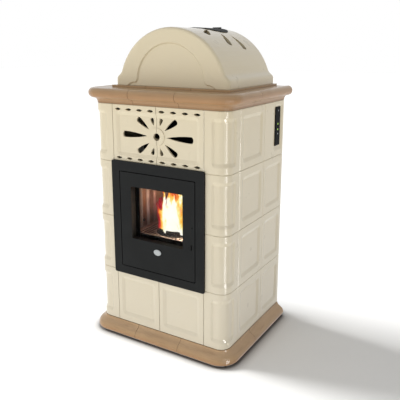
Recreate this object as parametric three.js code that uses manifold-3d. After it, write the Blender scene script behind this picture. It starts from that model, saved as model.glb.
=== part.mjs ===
// A pellet stove in a tiled ceramic casing. Millimetres, +Z up, front towards -Y, origin on the floor.
import * as THREE from 'three';
import { mergeVertices } from 'three/addons/utils/BufferGeometryUtils.js';
import Module from 'manifold-3d';

const wasm = await Module();
wasm.setup();

// Clearances that every piece shares
const gap = 0.3;        // between faces that touch
const overrun = 2;      // how far a cut runs past a face
const weld = 0.5;       // how far two joined shapes run into each other
const seam = 1.2;       // open joint between neighbouring tiles
const slide = 3;        // gap round the door leaf
const sheet = 2;        // steel sheet

// Tiles of the casing
const tile = {
  rows: 4, rowHeight: 220, frontWidth: 200, sideWidth: 200, rearWidth: 178, cornerLeg: 93,
  round: 42, wall: 12, depth: 30, rim: 10,
  recess: 5, slope: 13, soften: 1.8, notch: 1, margin: 18, marginHigh: 26, marginCorner: 24,
};
const plinth = {
  height: 49.7, toe: 1.8, coveOut: 4, coveHigh: 32, hipOut: 27, hipHigh: 38, out: 31, sideHigh: 12,
  sill: 30, sillHigh: 4, foot: 26, inward: 30, leg: 193,
};
const cornice = {
  coveOut: 15.5, coveHigh: 20, bead: 18.5, dip: 1.5, platform: 7.5, shelf: 110,
  platformHalf: 260, platformFront: 160, leg: 193,
};
const vault = {
  radius: 238, centreDrop: 24, front: 147, rear: 232, wall: 12,
  flangeHalf: 249, flangeHigh: 21, flangeRound: 34, edge: 11,
  archHalf: 148, archLeg: 40, archTop: 160, archFlare: 195, archFlareHigh: 14, archDepth: 5,
};
// The vents of the vault fan out from the lid's centre on each side
const vents = { turns: [0, -28, -57], from: 113, to: 202, wide: 28 };
const lid = {
  centre: 113, halfWide: 89, halfLong: 89, proud: 2.4, plate: 3.2, collar: 2.2, lip: 8, neckDeep: 10,
  knuckle: 3.6, knuckleHalf: 13, pin: 2, ear: 5, earGap: 0.5,
};
const sunburst = { centreHigh: 110, hole: 14, disc: 33, discHigh: 2.4, count: 5 };
// The petals of the sunburst: level, slanting and steep, with the width near the rounded end
const petalRoot = 42;
const petalEndShare = 0.7;
const levelPetal = { turn: 0, to: 155, wide: 24 };
const slantPetal = { turn: 36, to: 107, wide: 21 };
const steepPetal = { turn: 72, to: 71, wide: 15 };
const lens = { wide: 28, high: 10, pitch: 49.5, perTile: 4, inset: 18 };

// Door, frame and what is on them
const frame = { lap: 6, lapHigh: 7.5, proud: 8, round: 6, collar: 4 };
const leaf = {
  inset: 33, insetHigh: 31, drop: 3, thick: 32, plate: 4, side: 3, round: 4,
  stile: 51, topRail: 53, lowRail: 119, well: 26, wellWall: 4,
};
const glass = { thick: 4, lap: 6 };
const hinge = { pin: 3, inset: 4, deep: 9, reach: 8, play: 0.4 };
const latch = {
  radius: 10.5, fromEdge: 14, drop: 57, slotWide: 5, slotDeep: 4, slotLong: 19,
  tongueLong: 28, tongueWide: 12, tongueThick: 6, stand: 1.5, play: 0.4, keeperPlay: 3,
};
const pinhole = { radius: 3, deep: 2, fromEdge: 10, rise: 18 };
const badge = { wide: 33, high: 23, thick: 1.6, drop: 36, aside: 3 };

// Fire chamber
const firebox = {
  front: 195.2, rear: 25, half: 156, wall: 4, low: 306, high: 690,
  flange: 186, flangeLow: 292, flangeHigh: 694, flangeThick: 4, mouthHalf: 150, mouthLow: 310, mouthHigh: 676,
  skirt: 3, portRadius: 19, ductWide: 59.7, ductLow: 90, ductHigh: 170, riserHigh: 350, riserDeep: 40,
  ductEnd: 150, smokeLow: 320, smokeHigh: 345,
};
const liner = { plate: 3, clearance: 4, fold: 8, flat: 15, slope: 8, high: 241, rearInset: 18, folds: 3 };
const hearth = { thick: 5, high: 430, slotWide: 7, pitch: 15, slotMargin: 14, barMargin: 8, frontBar: 4 };
const pot = { halfWide: 70, halfDeep: 54, centre: 122, wall: 4, rim: 452, low: 385, lip: 5, lipThick: 3, hole: 4, holeRing: 26 };
const drawer = { half: 138, front: 186, rear: 44, low: 310.3, high: 348, wall: 2.5 };

// Pellet feed
const hopper = {
  half: 150, front: 5, rear: 205, top: 1085, waist: 762, throat: 640, throatHalf: 33, throatDeep: 22, floor: 520,
  flange: 165, flangeThick: 3,
};
const auger = {
  startY: -24.7, startZ: 612, slope: 35, long: 205, tube: 24, bore: 21, flight: 18.5, shaft: 6, pitch: 36, blade: 11,
  endWall: 3, inletHalf: 16, inletLong: 34, tail: 22, head: 16,
};
const motor = { wide: 58, long: 46, can: 22, canLong: 34, bore: 0.35 };

// Fans
const smokeFan = {
  y: 110, z: 130, radius: 80, near: 60, far: 142, wall: 3, inlet: 30, spigot: 40, spigotWall: 2.5, spigotRise: 38,
  can: 34, canLong: 46, shaft: 4, wheel: 68, wheelGap: 5, disc: 3, blades: 10, bladeLong: 40, bladeIn: 30, bladeThick: 3,
  foot: 44,
};
const roomFan = {
  y: -108, z: 110, radius: 30, half: 100, end: 3, clearance: 5, slats: 12, slatThick: 2.2, slatDeep: 8, disc: 2.5,
  shaft: 3, can: 22, canLong: 28, scroll: 3, bladePlay: 2,
};

// Chassis and rear
const base = { foot: 18, footHigh: 3, plate: 3, lip: 7, lipFront: 7.5, footInsetX: 60, footInsetY: 55 };
const rail = { leg: 72, thick: 2, strip: 18, rear: 28, ringHalf: 152, ringFront: 3 };
const back = { inset: 7, low: 12, vents: 6, ventWide: 90, ventHigh: 5, ventPitch: 14, ventLow: 620 };
const air = { x: -95, z: 168, radius: 25, wall: 2, long: 22, rise: 0 };
const inlet = { x: -190, z: 130, wide: 30, high: 58, deep: 22, lip: 3, lipThick: 2.5, socketWide: 22, socketHigh: 24 };
const rocker = { radius: 8, half: 8, rise: 14, play: 0.5, flat: 6.4 };

// Control panel on the right-hand side
const panel = {
  wide: 43, high: 154, thick: 8, setBack: 1, fromRear: 30.5, top: 23, recessSide: 20, recessLow: 20, recessHigh: 9,
};
const key = { radius: 3.5, long: 4, proud: 0.8, travel: 1, play: 0.4, pocket: 5.4, upper: 62, lower: 30 };

// What follows from the sizes above
const halfWidth = tile.frontWidth + tile.cornerLeg;
const bodyDepth = tile.cornerLeg + tile.sideWidth + tile.rearWidth;
const frontY = -bodyDepth / 2;
const rearY = bodyDepth / 2;
const baseTop = base.footHigh + base.plate;
const plinthLow = baseTop + gap;
const tileLow = plinthLow + plinth.height;
const tileHigh = tileLow + tile.rows * tile.rowHeight;
const corniceOut = cornice.coveOut + cornice.bead;
const beadCentre = cornice.coveHigh + cornice.bead;
const corniceTop = tileHigh + beadCentre + cornice.bead - cornice.dip;
const vaultLow = corniceTop + cornice.platform + gap;
const vaultCentre = vaultLow - vault.centreDrop;
const crest = vaultCentre + vault.radius;
const innerHalf = halfWidth - tile.depth - gap;
const innerFront = frontY + tile.depth + gap;
const cornerSeamY = frontY + tile.cornerLeg;
const sideSeamY = cornerSeamY + tile.sideWidth;
const baseHalf = halfWidth + base.lip;
const baseFront = -frontY + base.lipFront;
const frameFront = frontY - frame.proud;
const doorCentreZ = tileLow + tile.rowHeight + tile.rowHeight;
const frameWidth = 2 * (tile.frontWidth + frame.lap);
const frameHeight = 2 * (tile.rowHeight + frame.lapHigh);
const leafWidth = 2 * (tile.frontWidth - leaf.inset);
const leafHeight = 2 * (tile.rowHeight - leaf.insetHigh);
const leafCentreZ = doorCentreZ - leaf.drop;
const windowWidth = leafWidth - 2 * leaf.stile;
const windowHeight = leafHeight - leaf.topRail - leaf.lowRail;
const windowCentreZ = leafCentreZ + (leaf.lowRail - leaf.topRail) / 2;
const hingeX = -leafWidth / 2 + hinge.inset;
const hingeY = frameFront + hinge.inset;
const latchX = leafWidth / 2 - latch.fromEdge;
const latchZ = leafCentreZ - latch.drop;
const leafBack = frameFront + leaf.thick;
const ringTop = tileHigh - gap;
const backY = rearY - back.inset;
const panelY = rearY - panel.fromRear - panel.wide / 2;
const panelZ = tileHigh - panel.top - panel.high / 2;

const colours = {
  cream: { color: 0xdcd0b8, roughness: 0.28, metalness: 0 },
  brown: { color: 0xa5815f, roughness: 0.25, metalness: 0 },
  black: { color: 0x2c2c2e, roughness: 0.5, metalness: 0.4 },
  steel: { color: 0x8e8a84, roughness: 0.4, metalness: 0.9 },
  liner: { color: 0x7d6455, roughness: 0.35, metalness: 0.8 },
  iron: { color: 0x3a3836, roughness: 0.7, metalness: 0.5 },
  zinc: { color: 0xa9adb0, roughness: 0.45, metalness: 0.8 },
  glass: { color: 0xbcb6a8, roughness: 0.05, metalness: 0 },
  plastic: { color: 0x151515, roughness: 0.2, metalness: 0 },
  grey: { color: 0x8a8d90, roughness: 0.5, metalness: 0 },
};

const stove = new THREE.Group();

// Solids from three.js geometry

function solid(geometry) {
  const bare = geometry.index ? geometry.toNonIndexed() : geometry;
  bare.deleteAttribute('normal');
  bare.deleteAttribute('uv');
  const merged = mergeVertices(bare);
  const corners = merged.index.array;
  const kept = [];
  for (let i = 0; i < corners.length; i += 3) {
    const [a, b, c] = [corners[i], corners[i + 1], corners[i + 2]];
    if (a !== b && b !== c && c !== a) kept.push(a, b, c);
  }
  const build = (triangles) => new wasm.Manifold(new wasm.Mesh({
    numProp: 3,
    vertProperties: new Float32Array(merged.attributes.position.array),
    triVerts: new Uint32Array(triangles),
  }));
  const shape = build(kept);
  if (shape.volume() > 0) return shape;
  const turned = [];
  for (let i = 0; i < kept.length; i += 3) turned.push(kept[i], kept[i + 2], kept[i + 1]);
  return build(turned);
}

function join(...shapes) {
  return shapes.reduce((whole, shape) => whole.add(shape));
}

function cut(shape, ...tools) {
  return tools.reduce((rest, tool) => rest.subtract(tool), shape);
}

function block(x0, x1, y0, y1, z0, z1) {
  const geometry = new THREE.BoxGeometry(x1 - x0, y1 - y0, z1 - z0);
  geometry.translate((x0 + x1) / 2, (y0 + y1) / 2, (z0 + z1) / 2);
  return solid(geometry);
}

const upright = new THREE.Matrix4();
const acrossX = new THREE.Matrix4().makeBasis(
  new THREE.Vector3(0, 1, 0), new THREE.Vector3(0, 0, 1), new THREE.Vector3(1, 0, 0));
const alongY = new THREE.Matrix4().makeBasis(
  new THREE.Vector3(-1, 0, 0), new THREE.Vector3(0, 0, 1), new THREE.Vector3(0, 1, 0));

function prism(shape, from, to, basis = upright, options = {}) {
  const geometry = new THREE.ExtrudeGeometry(shape, {
    depth: to - from, bevelEnabled: false, curveSegments: 5, ...options,
  });
  geometry.translate(0, 0, from);
  geometry.applyMatrix4(basis);
  return solid(geometry);
}

// The outline's first axis is -X here, so mirrored outlines are drawn through mirrorX
function prismY(shape, from, to, options = {}) {
  return prism(shape, from, to, alongY, options);
}

function rod(radius, from, to, sides = 24) {
  const start = new THREE.Vector3(...from);
  const reach = new THREE.Vector3(...to).sub(start);
  const geometry = new THREE.CylinderGeometry(radius, radius, reach.length(), sides);
  const turn = new THREE.Quaternion().setFromUnitVectors(new THREE.Vector3(0, 1, 0), reach.clone().normalize());
  geometry.applyQuaternion(turn);
  const middle = start.addScaledVector(reach, 1 / 2);
  geometry.translate(middle.x, middle.y, middle.z);
  return solid(geometry);
}

// An upright tube or plug of oval plan
function oval(halfWide, halfDeep, y, z0, z1, sides = 32) {
  const geometry = new THREE.CylinderGeometry(1, 1, z1 - z0, sides);
  geometry.rotateX(Math.PI / 2);
  geometry.scale(halfWide, halfDeep, 1);
  geometry.translate(0, y, (z0 + z1) / 2);
  return solid(geometry);
}

// A square funnel between two levels, whose halves are given as [wide, deep]
function funnel(low, high, y, z0, z1) {
  const geometry = new THREE.CylinderGeometry(Math.SQRT2, Math.SQRT2 * low[0] / high[0], z1 - z0, 4);
  geometry.rotateY(Math.PI / 4);
  geometry.rotateX(Math.PI / 2);
  geometry.scale(high[0], high[1], 1);
  geometry.translate(0, y, (z0 + z1) / 2);
  return solid(geometry);
}

function add(name, shape, colour) {
  const mesh = shape.getMesh();
  const geometry = new THREE.BufferGeometry();
  geometry.setAttribute('position', new THREE.BufferAttribute(new Float32Array(mesh.vertProperties), 3));
  geometry.setIndex(new THREE.BufferAttribute(new Uint32Array(mesh.triVerts), 1));
  const node = new THREE.Mesh(geometry, new THREE.MeshStandardMaterial(colours[colour]));
  node.name = name;
  stove.add(node);
}

function roundedRect(width, height, round) {
  const shape = new THREE.Shape();
  const [w, h] = [width / 2, height / 2];
  shape.moveTo(-w + round, -h);
  shape.lineTo(w - round, -h);
  shape.absarc(w - round, -h + round, round, -Math.PI / 2, 0);
  shape.lineTo(w, h - round);
  shape.absarc(w - round, h - round, round, 0, Math.PI / 2);
  shape.lineTo(-w + round, h);
  shape.absarc(-w + round, h - round, round, Math.PI / 2, Math.PI);
  shape.lineTo(-w, -h + round);
  shape.absarc(-w + round, -h + round, round, Math.PI, Math.PI * 1.5);
  return shape;
}

function at(shape, x, y, z) {
  return shape.translate([x, y, z]);
}

// Casing tiles

function casingPlan(inset) {
  const [w, front, round] = [halfWidth - inset, frontY + inset, tile.round - inset];
  const shape = new THREE.Shape();
  shape.moveTo(-w, rearY);
  shape.lineTo(-w, front + round);
  shape.absarc(-w + round, front + round, round, Math.PI, Math.PI * 1.5);
  shape.lineTo(w - round, front);
  shape.absarc(w - round, front + round, round, Math.PI * 1.5, Math.PI * 2);
  shape.lineTo(w, rearY);
  return shape;
}

const rowLow = gap / 2;
const rowHigh = tile.rowHeight - gap / 2;
const solidRow = prism(casingPlan(0), rowLow + tile.soften, rowHigh - tile.soften, upright, {
  bevelEnabled: true, bevelThickness: tile.soften, bevelSize: tile.soften, bevelOffset: -tile.soften,
  bevelSegments: 1,
});

// A V-shaped notch down the face softens the edges of the tiles on both sides of a joint
function seamNotch(x, y) {
  return rod(tile.notch + seam / 2, [x, y, -overrun], [x, y, tile.rowHeight + overrun], 4);
}

const seamNotches = [
  seamNotch(0, frontY), seamNotch(tile.frontWidth, frontY), seamNotch(-tile.frontWidth, frontY),
  ...[cornerSeamY, sideSeamY].flatMap((y) => [seamNotch(halfWidth, y), seamNotch(-halfWidth, y)]),
];
const rowShell = cut(solidRow, ...seamNotches, prism(casingPlan(tile.depth), -overrun, tile.rowHeight + overrun)
  .add(block(-halfWidth + tile.depth, halfWidth - tile.depth, 0, rearY + overrun, -overrun, tile.rowHeight + overrun)));
const rowHollow = prism(casingPlan(tile.wall), rowLow + tile.rim, rowHigh - tile.rim);

// A tile is the part of the row's thick shell inside its plan box, hollowed from behind up to its rims
function shellTile(x0, x1, y0, y1) {
  const [near, far] = [-overrun, tile.rowHeight + overrun];
  const whole = rowShell.intersect(block(x0, x1, y0, y1, near, far));
  const rimmed = (low, high, open) => [low + tile.rim, open ? high + overrun : high - tile.rim];
  const onRear = y1 >= rearY;
  const [px0, px1] = rimmed(x0, x1, false);
  const [py0, py1] = rimmed(y0, y1, false);
  const pocketX = x1 > halfWidth ? [px0, halfWidth] : x0 < -halfWidth ? [-halfWidth, px1] : [px0, px1];
  const pocketY = y0 < frontY ? [frontY, py1] : [py0, onRear ? rearY - tile.rim : py1];
  return cut(whole, rowHollow.intersect(block(...pocketX, ...pocketY, near, far)));
}

// A sunk panel with sloped reveals, as a cutter for a face whose outward side is +Z of the outline
function recessCutter(width, height) {
  const shape = roundedRect(width - 2 * tile.slope, height - 2 * tile.slope, tile.recess);
  return prism(shape, 0, overrun, upright, {
    bevelEnabled: true, bevelThickness: tile.recess, bevelSize: tile.slope, bevelSegments: 1, curveSegments: 1,
  });
}

const recessHeight = tile.rowHeight - 2 * tile.marginHigh;
const rowMiddle = tile.rowHeight / 2;

function sideRecess(y0, y1, z0 = tile.marginHigh, z1 = tile.rowHeight - tile.marginHigh) {
  const cutter = recessCutter(y1 - y0, z1 - z0).transform(new THREE.Matrix4().copy(acrossX).elements);
  return at(cutter, halfWidth, (y0 + y1) / 2, (z0 + z1) / 2);
}

function frontRecess(x0, x1) {
  const basis = new THREE.Matrix4().makeBasis(
    new THREE.Vector3(1, 0, 0), new THREE.Vector3(0, 0, 1), new THREE.Vector3(0, -1, 0));
  const cutter = recessCutter(x1 - x0, recessHeight).transform(basis.elements);
  return at(cutter, (x0 + x1) / 2, frontY, rowMiddle);
}

// The panel of a corner tile wraps round its rounded corner
function cornerRecess() {
  const [x0, y1] = [tile.frontWidth + tile.marginCorner, cornerSeamY - tile.marginCorner];
  const [cx, cy] = [halfWidth - tile.round, frontY + tile.round];
  const reach = Math.hypot(tile.recess, tile.slope);
  const run = overrun * tile.slope / tile.recess;
  const shape = new THREE.Shape();
  shape.moveTo(x0 + reach, frontY);
  shape.lineTo(cx, frontY);
  shape.absarc(cx, cy, tile.round, -Math.PI / 2, 0);
  shape.lineTo(halfWidth, y1 - reach);
  shape.lineTo(halfWidth + overrun, y1 - reach + run);
  shape.lineTo(halfWidth + overrun, cy);
  shape.absarc(cx, cy, tile.round + overrun, 0, -Math.PI / 2, true);
  shape.lineTo(x0 + reach - run, frontY - overrun);
  return prism(shape, tile.marginHigh + tile.slope, tile.rowHeight - tile.marginHigh - tile.slope, upright, {
    bevelEnabled: true, bevelThickness: tile.slope, bevelSize: tile.recess, bevelSegments: 1,
  });
}

const sides = [['right', 1], ['left', -1]];

function mirrored(shape, side) {
  return side > 0 ? shape : shape.mirror([1, 0, 0]);
}

const beyondX = halfWidth + corniceOut + overrun;
const cornerTile = cut(
  shellTile(tile.frontWidth + seam / 2, beyondX, frontY - overrun, cornerSeamY - seam / 2), cornerRecess());
const sideTile = cut(
  shellTile(0, beyondX, cornerSeamY + seam / 2, sideSeamY - seam / 2),
  sideRecess(cornerSeamY + tile.margin, sideSeamY - tile.margin));
const rearTileBlank = shellTile(0, beyondX, sideSeamY + seam / 2, rearY);
const rearTile = cut(rearTileBlank, sideRecess(sideSeamY + tile.margin, rearY - tile.margin));

function rowZ(row) {
  return tileLow + row * tile.rowHeight;
}

for (const [side, sign] of sides) {
  for (let row = 0; row < tile.rows; row += 1) {
    add(`corner_tile_${side}_${row + 1}`, at(mirrored(cornerTile, sign), 0, 0, rowZ(row)), 'cream');
    add(`side_tile_${side}_${row + 1}`, at(mirrored(sideTile, sign), 0, 0, rowZ(row)), 'cream');
  }
}

// The four rear tiles of a side are one column here, with the joints between them cut as grooves
const groove = { deep: 5, high: 1 };

function rearColumn(topTile) {
  let column = at(topTile, 0, 0, rowZ(tile.rows - 1));
  for (let row = 0; row < tile.rows - 1; row += 1) {
    const joint = rowZ(row + 1);
    const [y0, y1] = [sideSeamY + seam / 2, rearY];
    const bridge = block(halfWidth - tile.wall, halfWidth - groove.deep, y0, y1, joint - groove.high, joint + groove.high);
    column = join(column, at(rearTile, 0, 0, rowZ(row)), bridge);
  }
  return column;
}

const panelRecess = sideRecess(
  panelY - panel.wide / 2 - panel.recessSide, panelY + panel.wide / 2 + panel.recessSide,
  panelZ - panel.high / 2 - panel.recessLow - rowZ(tile.rows - 1),
  panelZ + panel.high / 2 + panel.recessHigh - rowZ(tile.rows - 1));
const panelPocket = block(
  halfWidth - panel.setBack - panel.thick - gap, halfWidth + overrun,
  panelY - panel.wide / 2 - gap, panelY + panel.wide / 2 + gap,
  panelZ - panel.high / 2 - gap, panelZ + panel.high / 2 + gap);
add('rear_tiles_left', mirrored(rearColumn(rearTile), -1), 'cream');
add('rear_tiles_right', cut(rearColumn(cut(rearTileBlank, panelRecess)), panelPocket), 'cream');

// Two plain tiles under the door
for (const [side, sign] of sides) {
  const plain = cut(
    shellTile(seam / 2, tile.frontWidth - seam / 2, frontY - overrun, 0),
    frontRecess(tile.margin, tile.frontWidth - tile.margin));
  add(`lower_tile_${side}`, at(mirrored(plain, sign), 0, 0, rowZ(0)), 'cream');
}

// Pierced tiles over the door

function petalShape(from, to, wide) {
  const shape = new THREE.Shape();
  const [half, middle] = [wide / 2, (from + to) / 2];
  const shoulder = to - half * petalEndShare;
  shape.moveTo(from, 0);
  shape.quadraticCurveTo(middle, -half, shoulder, -half);
  shape.absellipse(shoulder, 0, half * petalEndShare, half, -Math.PI / 2, Math.PI / 2);
  shape.quadraticCurveTo(middle, half, from, 0);
  return shape;
}

function lensShape() {
  const shape = new THREE.Shape();
  shape.moveTo(-lens.wide / 2, 0);
  shape.quadraticCurveTo(0, -lens.high, lens.wide / 2, 0);
  shape.quadraticCurveTo(0, lens.high, -lens.wide / 2, 0);
  return shape;
}

const throughWall = new THREE.Matrix4().makeBasis(
  new THREE.Vector3(1, 0, 0), new THREE.Vector3(0, 0, 1), new THREE.Vector3(0, -1, 0));

function pierce(shape, turn, x, z) {
  const wide = prism(shape, -tile.wall - overrun, overrun, upright, { curveSegments: 4 });
  const placed = wide.rotate([0, 0, turn]).transform(throughWall.elements);
  return at(placed, x, frontY, z);
}

function piercedTile() {
  const discFace = frontY + tile.recess - sunburst.discHigh;
  let shape = cut(
    shellTile(seam / 2, tile.frontWidth - seam / 2, frontY - overrun, 0),
    frontRecess(-tile.frontWidth + tile.margin, tile.frontWidth - tile.margin));
  const disc = rod(sunburst.disc, [0, discFace, sunburst.centreHigh], [0, frontY + tile.recess + weld, sunburst.centreHigh]);
  shape = join(shape, disc.intersect(block(seam / 2, tile.frontWidth, frontY - overrun, 0, 0, tile.rowHeight)));
  shape = cut(shape, rod(
    sunburst.hole, [0, frontY - overrun, sunburst.centreHigh], [0, frontY + tile.depth, sunburst.centreHigh]));
  for (const petal of [levelPetal, slantPetal, steepPetal]) {
    for (const turn of petal.turn ? [petal.turn, -petal.turn] : [0]) {
      const outline = petalShape(petalRoot, petal.to, petal.wide);
      shape = cut(shape, pierce(outline, turn, 0, sunburst.centreHigh));
    }
  }
  for (let i = 0; i < lens.perTile; i += 1) {
    const x = lens.pitch * (i + 1 / 2);
    shape = cut(shape, pierce(lensShape(), 0, x, lens.inset), pierce(lensShape(), 0, x, tile.rowHeight - lens.inset));
  }
  return shape;
}

for (const [side, sign] of sides) {
  add(`pierced_tile_${side}`, at(mirrored(piercedTile(), sign), 0, 0, rowZ(tile.rows - 1)), 'cream');
}

// Mouldings: a profile of offsets and heights run along three sides, with turned corners

function mouldingRing(profile, inward) {
  const run = (points) => {
    const shape = new THREE.Shape();
    points.forEach(([out, high], i) => (i ? shape.lineTo(out, high) : shape.moveTo(out, high)));
    return shape;
  };
  const [low, high] = [profile[0][1], profile[profile.length - 1][1]];
  const bar = run([[-inward, low], ...profile, [-inward, high]]);
  const straight = halfWidth - tile.round + weld;
  const frontBasis = new THREE.Matrix4().makeBasis(
    new THREE.Vector3(0, -1, 0), new THREE.Vector3(0, 0, 1), new THREE.Vector3(-1, 0, 0));
  const sideBasis = new THREE.Matrix4().makeBasis(
    new THREE.Vector3(1, 0, 0), new THREE.Vector3(0, 0, 1), new THREE.Vector3(0, -1, 0));
  const front = at(prism(bar, -straight, straight, frontBasis), 0, frontY, 0);
  const side = at(prism(bar, -rearY, -(frontY + tile.round - weld), sideBasis), halfWidth, 0, 0);
  const core = Math.min(inward, tile.round);
  const turned = [[-core, low], ...profile, [-core, high]];
  if (core < tile.round) turned.push(turned[0]);
  const lathe = new THREE.LatheGeometry(turned.map(([out, up]) => new THREE.Vector2(tile.round + out, up)), 32);
  lathe.rotateX(Math.PI / 2);
  const [cx, cy, far] = [halfWidth - tile.round, frontY + tile.round, 2 * halfWidth];
  const corner = at(solid(lathe), cx, cy, 0).intersect(block(cx, far, -far, cy, low - overrun, high + overrun));
  return join(front, side, side.mirror([1, 0, 0]), corner, corner.mirror([1, 0, 0]));
}

// Splits a ring into a front piece, two long corners and two side pieces
function addRing(name, ring, leg, low, colour) {
  const far = 2 * halfWidth;
  const inX = halfWidth - leg;
  const cutY = frontY + leg;
  const part = (x0, x1, y0, y1) => at(ring.intersect(block(x0, x1, y0, y1, -far, far)), 0, 0, low);
  add(`${name}_front`, part(-inX + seam / 2, inX - seam / 2, -far, cutY), colour);
  for (const [side, sign] of sides) {
    add(`${name}_corner_${side}`, mirrored(part(inX + seam / 2, far, -far, cutY - seam / 2), sign), colour);
    add(`${name}_side_${side}`, mirrored(part(inX + seam / 2, far, cutY + seam / 2, far), sign), colour);
  }
}

function curvePoints(curve, count) {
  return curve.getPoints(count).map((point) => [point.x, point.y]);
}

const plinthSweep = new THREE.CubicBezierCurve(
  new THREE.Vector2(plinth.toe, plinth.height), new THREE.Vector2(plinth.coveOut, plinth.coveHigh),
  new THREE.Vector2(plinth.hipOut, plinth.hipHigh), new THREE.Vector2(plinth.out, plinth.sideHigh));
const plinthProfile = [
  [plinth.foot, 0], [plinth.sill, plinth.sillHigh], ...curvePoints(plinthSweep, 8).reverse(),
];
addRing('plinth', mouldingRing(plinthProfile, plinth.inward), plinth.leg, plinthLow, 'brown');

const cove = new THREE.EllipseCurve(
  cornice.coveOut, 0, cornice.coveOut, cornice.coveHigh, Math.PI, Math.PI / 2, true);
const bead = new THREE.EllipseCurve(
  cornice.coveOut, beadCentre, cornice.bead, cornice.bead, -Math.PI / 2, Math.PI / 2, false);
const corniceProfile = [
  ...curvePoints(cove, 4), ...curvePoints(bead, 10).slice(1),
  [0, corniceTop - tileHigh],
];
const platformHigh = corniceTop - tileHigh + cornice.platform;
const corniceHole = block(
  -halfWidth + cornice.shelf, halfWidth - cornice.shelf, frontY + cornice.shelf, rearY + overrun,
  -overrun, platformHigh + overrun);
const platform = block(
  -cornice.platformHalf, cornice.platformHalf, -cornice.platformFront, rearY,
  corniceTop - tileHigh - weld, platformHigh);
const corniceRing = join(mouldingRing(corniceProfile, cornice.shelf), cut(platform, corniceHole));
addRing('cornice', corniceRing, cornice.leg, tileHigh, 'brown');

// Top vault

function vaultShape(inset) {
  const [radius, half] = [vault.radius - inset, vault.flangeHalf - inset];
  const shoulder = vaultLow + vault.flangeHigh - inset / 2;
  const meet = shoulder + vault.flangeRound;
  const angle = Math.asin((meet - vaultCentre) / radius);
  const [meetX, bend] = [radius * Math.cos(angle), shoulder + vault.flangeRound / 2];
  const leanX = meetX + (meet - bend) * Math.tan(angle);
  const shape = new THREE.Shape();
  shape.moveTo(half, vaultLow - vault.edge - overrun);
  shape.lineTo(half, shoulder);
  shape.bezierCurveTo(half, bend, leanX, bend, meetX, meet);
  shape.absarc(0, vaultCentre, radius, angle, Math.PI - angle);
  shape.bezierCurveTo(-leanX, bend, -half, bend, -half, shoulder);
  shape.lineTo(-half, vaultLow - vault.edge - overrun);
  return shape;
}

function tympanumShape() {
  const [half, legTop, top] = [vault.archHalf, vaultLow + vault.archLeg, vaultLow + vault.archTop];
  const rise = top - legTop;
  const radius = (half * half + rise * rise) / (2 * rise);
  const angle = Math.asin((radius - rise) / radius);
  const shape = new THREE.Shape();
  shape.moveTo(vault.archFlare, vaultLow - vault.edge);
  shape.lineTo(vault.archFlare, vaultLow);
  shape.quadraticCurveTo(vault.archFlare - vault.archFlareHigh, vaultLow + vault.archFlareHigh,
    half + vault.archFlareHigh, vaultLow + vault.archFlareHigh);
  shape.quadraticCurveTo(half, vaultLow + vault.archFlareHigh, half, legTop);
  shape.absarc(0, top - radius, radius, angle, Math.PI - angle);
  shape.quadraticCurveTo(-half, vaultLow + vault.archFlareHigh, -half - vault.archFlareHigh,
    vaultLow + vault.archFlareHigh);
  shape.quadraticCurveTo(-vault.archFlare + vault.archFlareHigh, vaultLow + vault.archFlareHigh,
    -vault.archFlare, vaultLow);
  shape.lineTo(-vault.archFlare, vaultLow - vault.edge);
  return shape;
}

function vaultVent(degrees, sign) {
  const turn = degrees * Math.PI / 180;
  const middle = (vents.from + vents.to) / 2;
  const arc = middle * Math.cos(turn) / vault.radius;
  const shape = petalShape(vents.from - middle, vents.to - middle, vents.wide);
  const cutter = prism(shape, vault.radius - 2 * vault.wall, vault.radius + overrun, upright, { curveSegments: 4 });
  const placed = cutter.rotate([0, 0, degrees]).rotate([0, arc * 180 / Math.PI, 0]);
  const y = lid.centre + middle * Math.sin(turn);
  return mirrored(at(placed, 0, y, vaultCentre), sign);
}

function topVault() {
  const edge = { bevelEnabled: true, bevelThickness: vault.edge, bevelSize: vault.edge, bevelOffset: -vault.edge,
    bevelSegments: 3, curveSegments: 14 };
  const outer = prismY(vaultShape(0), -vault.front + vault.edge, vault.rear - vault.edge, edge);
  const inner = prismY(vaultShape(vault.wall), -vault.front + vault.wall, vault.rear - vault.wall, { curveSegments: 14 });
  const below = block(-beyondX, beyondX, -beyondX, beyondX, vaultLow - vault.radius, vaultLow);
  const reveal = { bevelEnabled: true, bevelThickness: vault.archDepth, bevelSize: vault.archDepth,
    bevelOffset: -vault.archDepth, bevelSegments: 1, curveSegments: 12 };
  const tympanum = prismY(tympanumShape(), -vault.front - 2 * vault.archDepth, -vault.front, reveal);
  const mouth = oval(lid.halfWide - lid.lip, lid.halfLong - lid.lip, lid.centre, vaultCentre, crest + overrun);
  const openings = vents.turns.flatMap((turn) => [vaultVent(turn, 1), vaultVent(turn, -1)]);
  const seat = curvedOval(collarLow - gap, vault.radius + overrun, lid.halfWide + 2 * gap, lid.halfLong + 2 * gap);
  const half = lid.knuckleHalf + 2 * lid.earGap + lid.ear;
  const channel = block(-half, half, lid.centre, hingeLidY + lid.knuckle + lid.earGap,
    vaultCentre + collarLow - gap, crest + overrun);
  return cut(outer, inner, below, tympanum, mouth, seat, channel, ...openings);
}

// Filler collar and lid, both following the vault's curve, in a seat sunk into the crest

function curvedOval(low, high, halfWide, halfLong) {
  const ring = (radius) => {
    const shape = new THREE.Shape();
    shape.absarc(0, vaultCentre, radius, 0, Math.PI);
    return prismY(shape, -vault.front, vault.rear, { curveSegments: 16 });
  };
  return cut(ring(high), ring(low)).intersect(oval(halfWide, halfLong, lid.centre, vaultCentre, high + crest));
}

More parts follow.
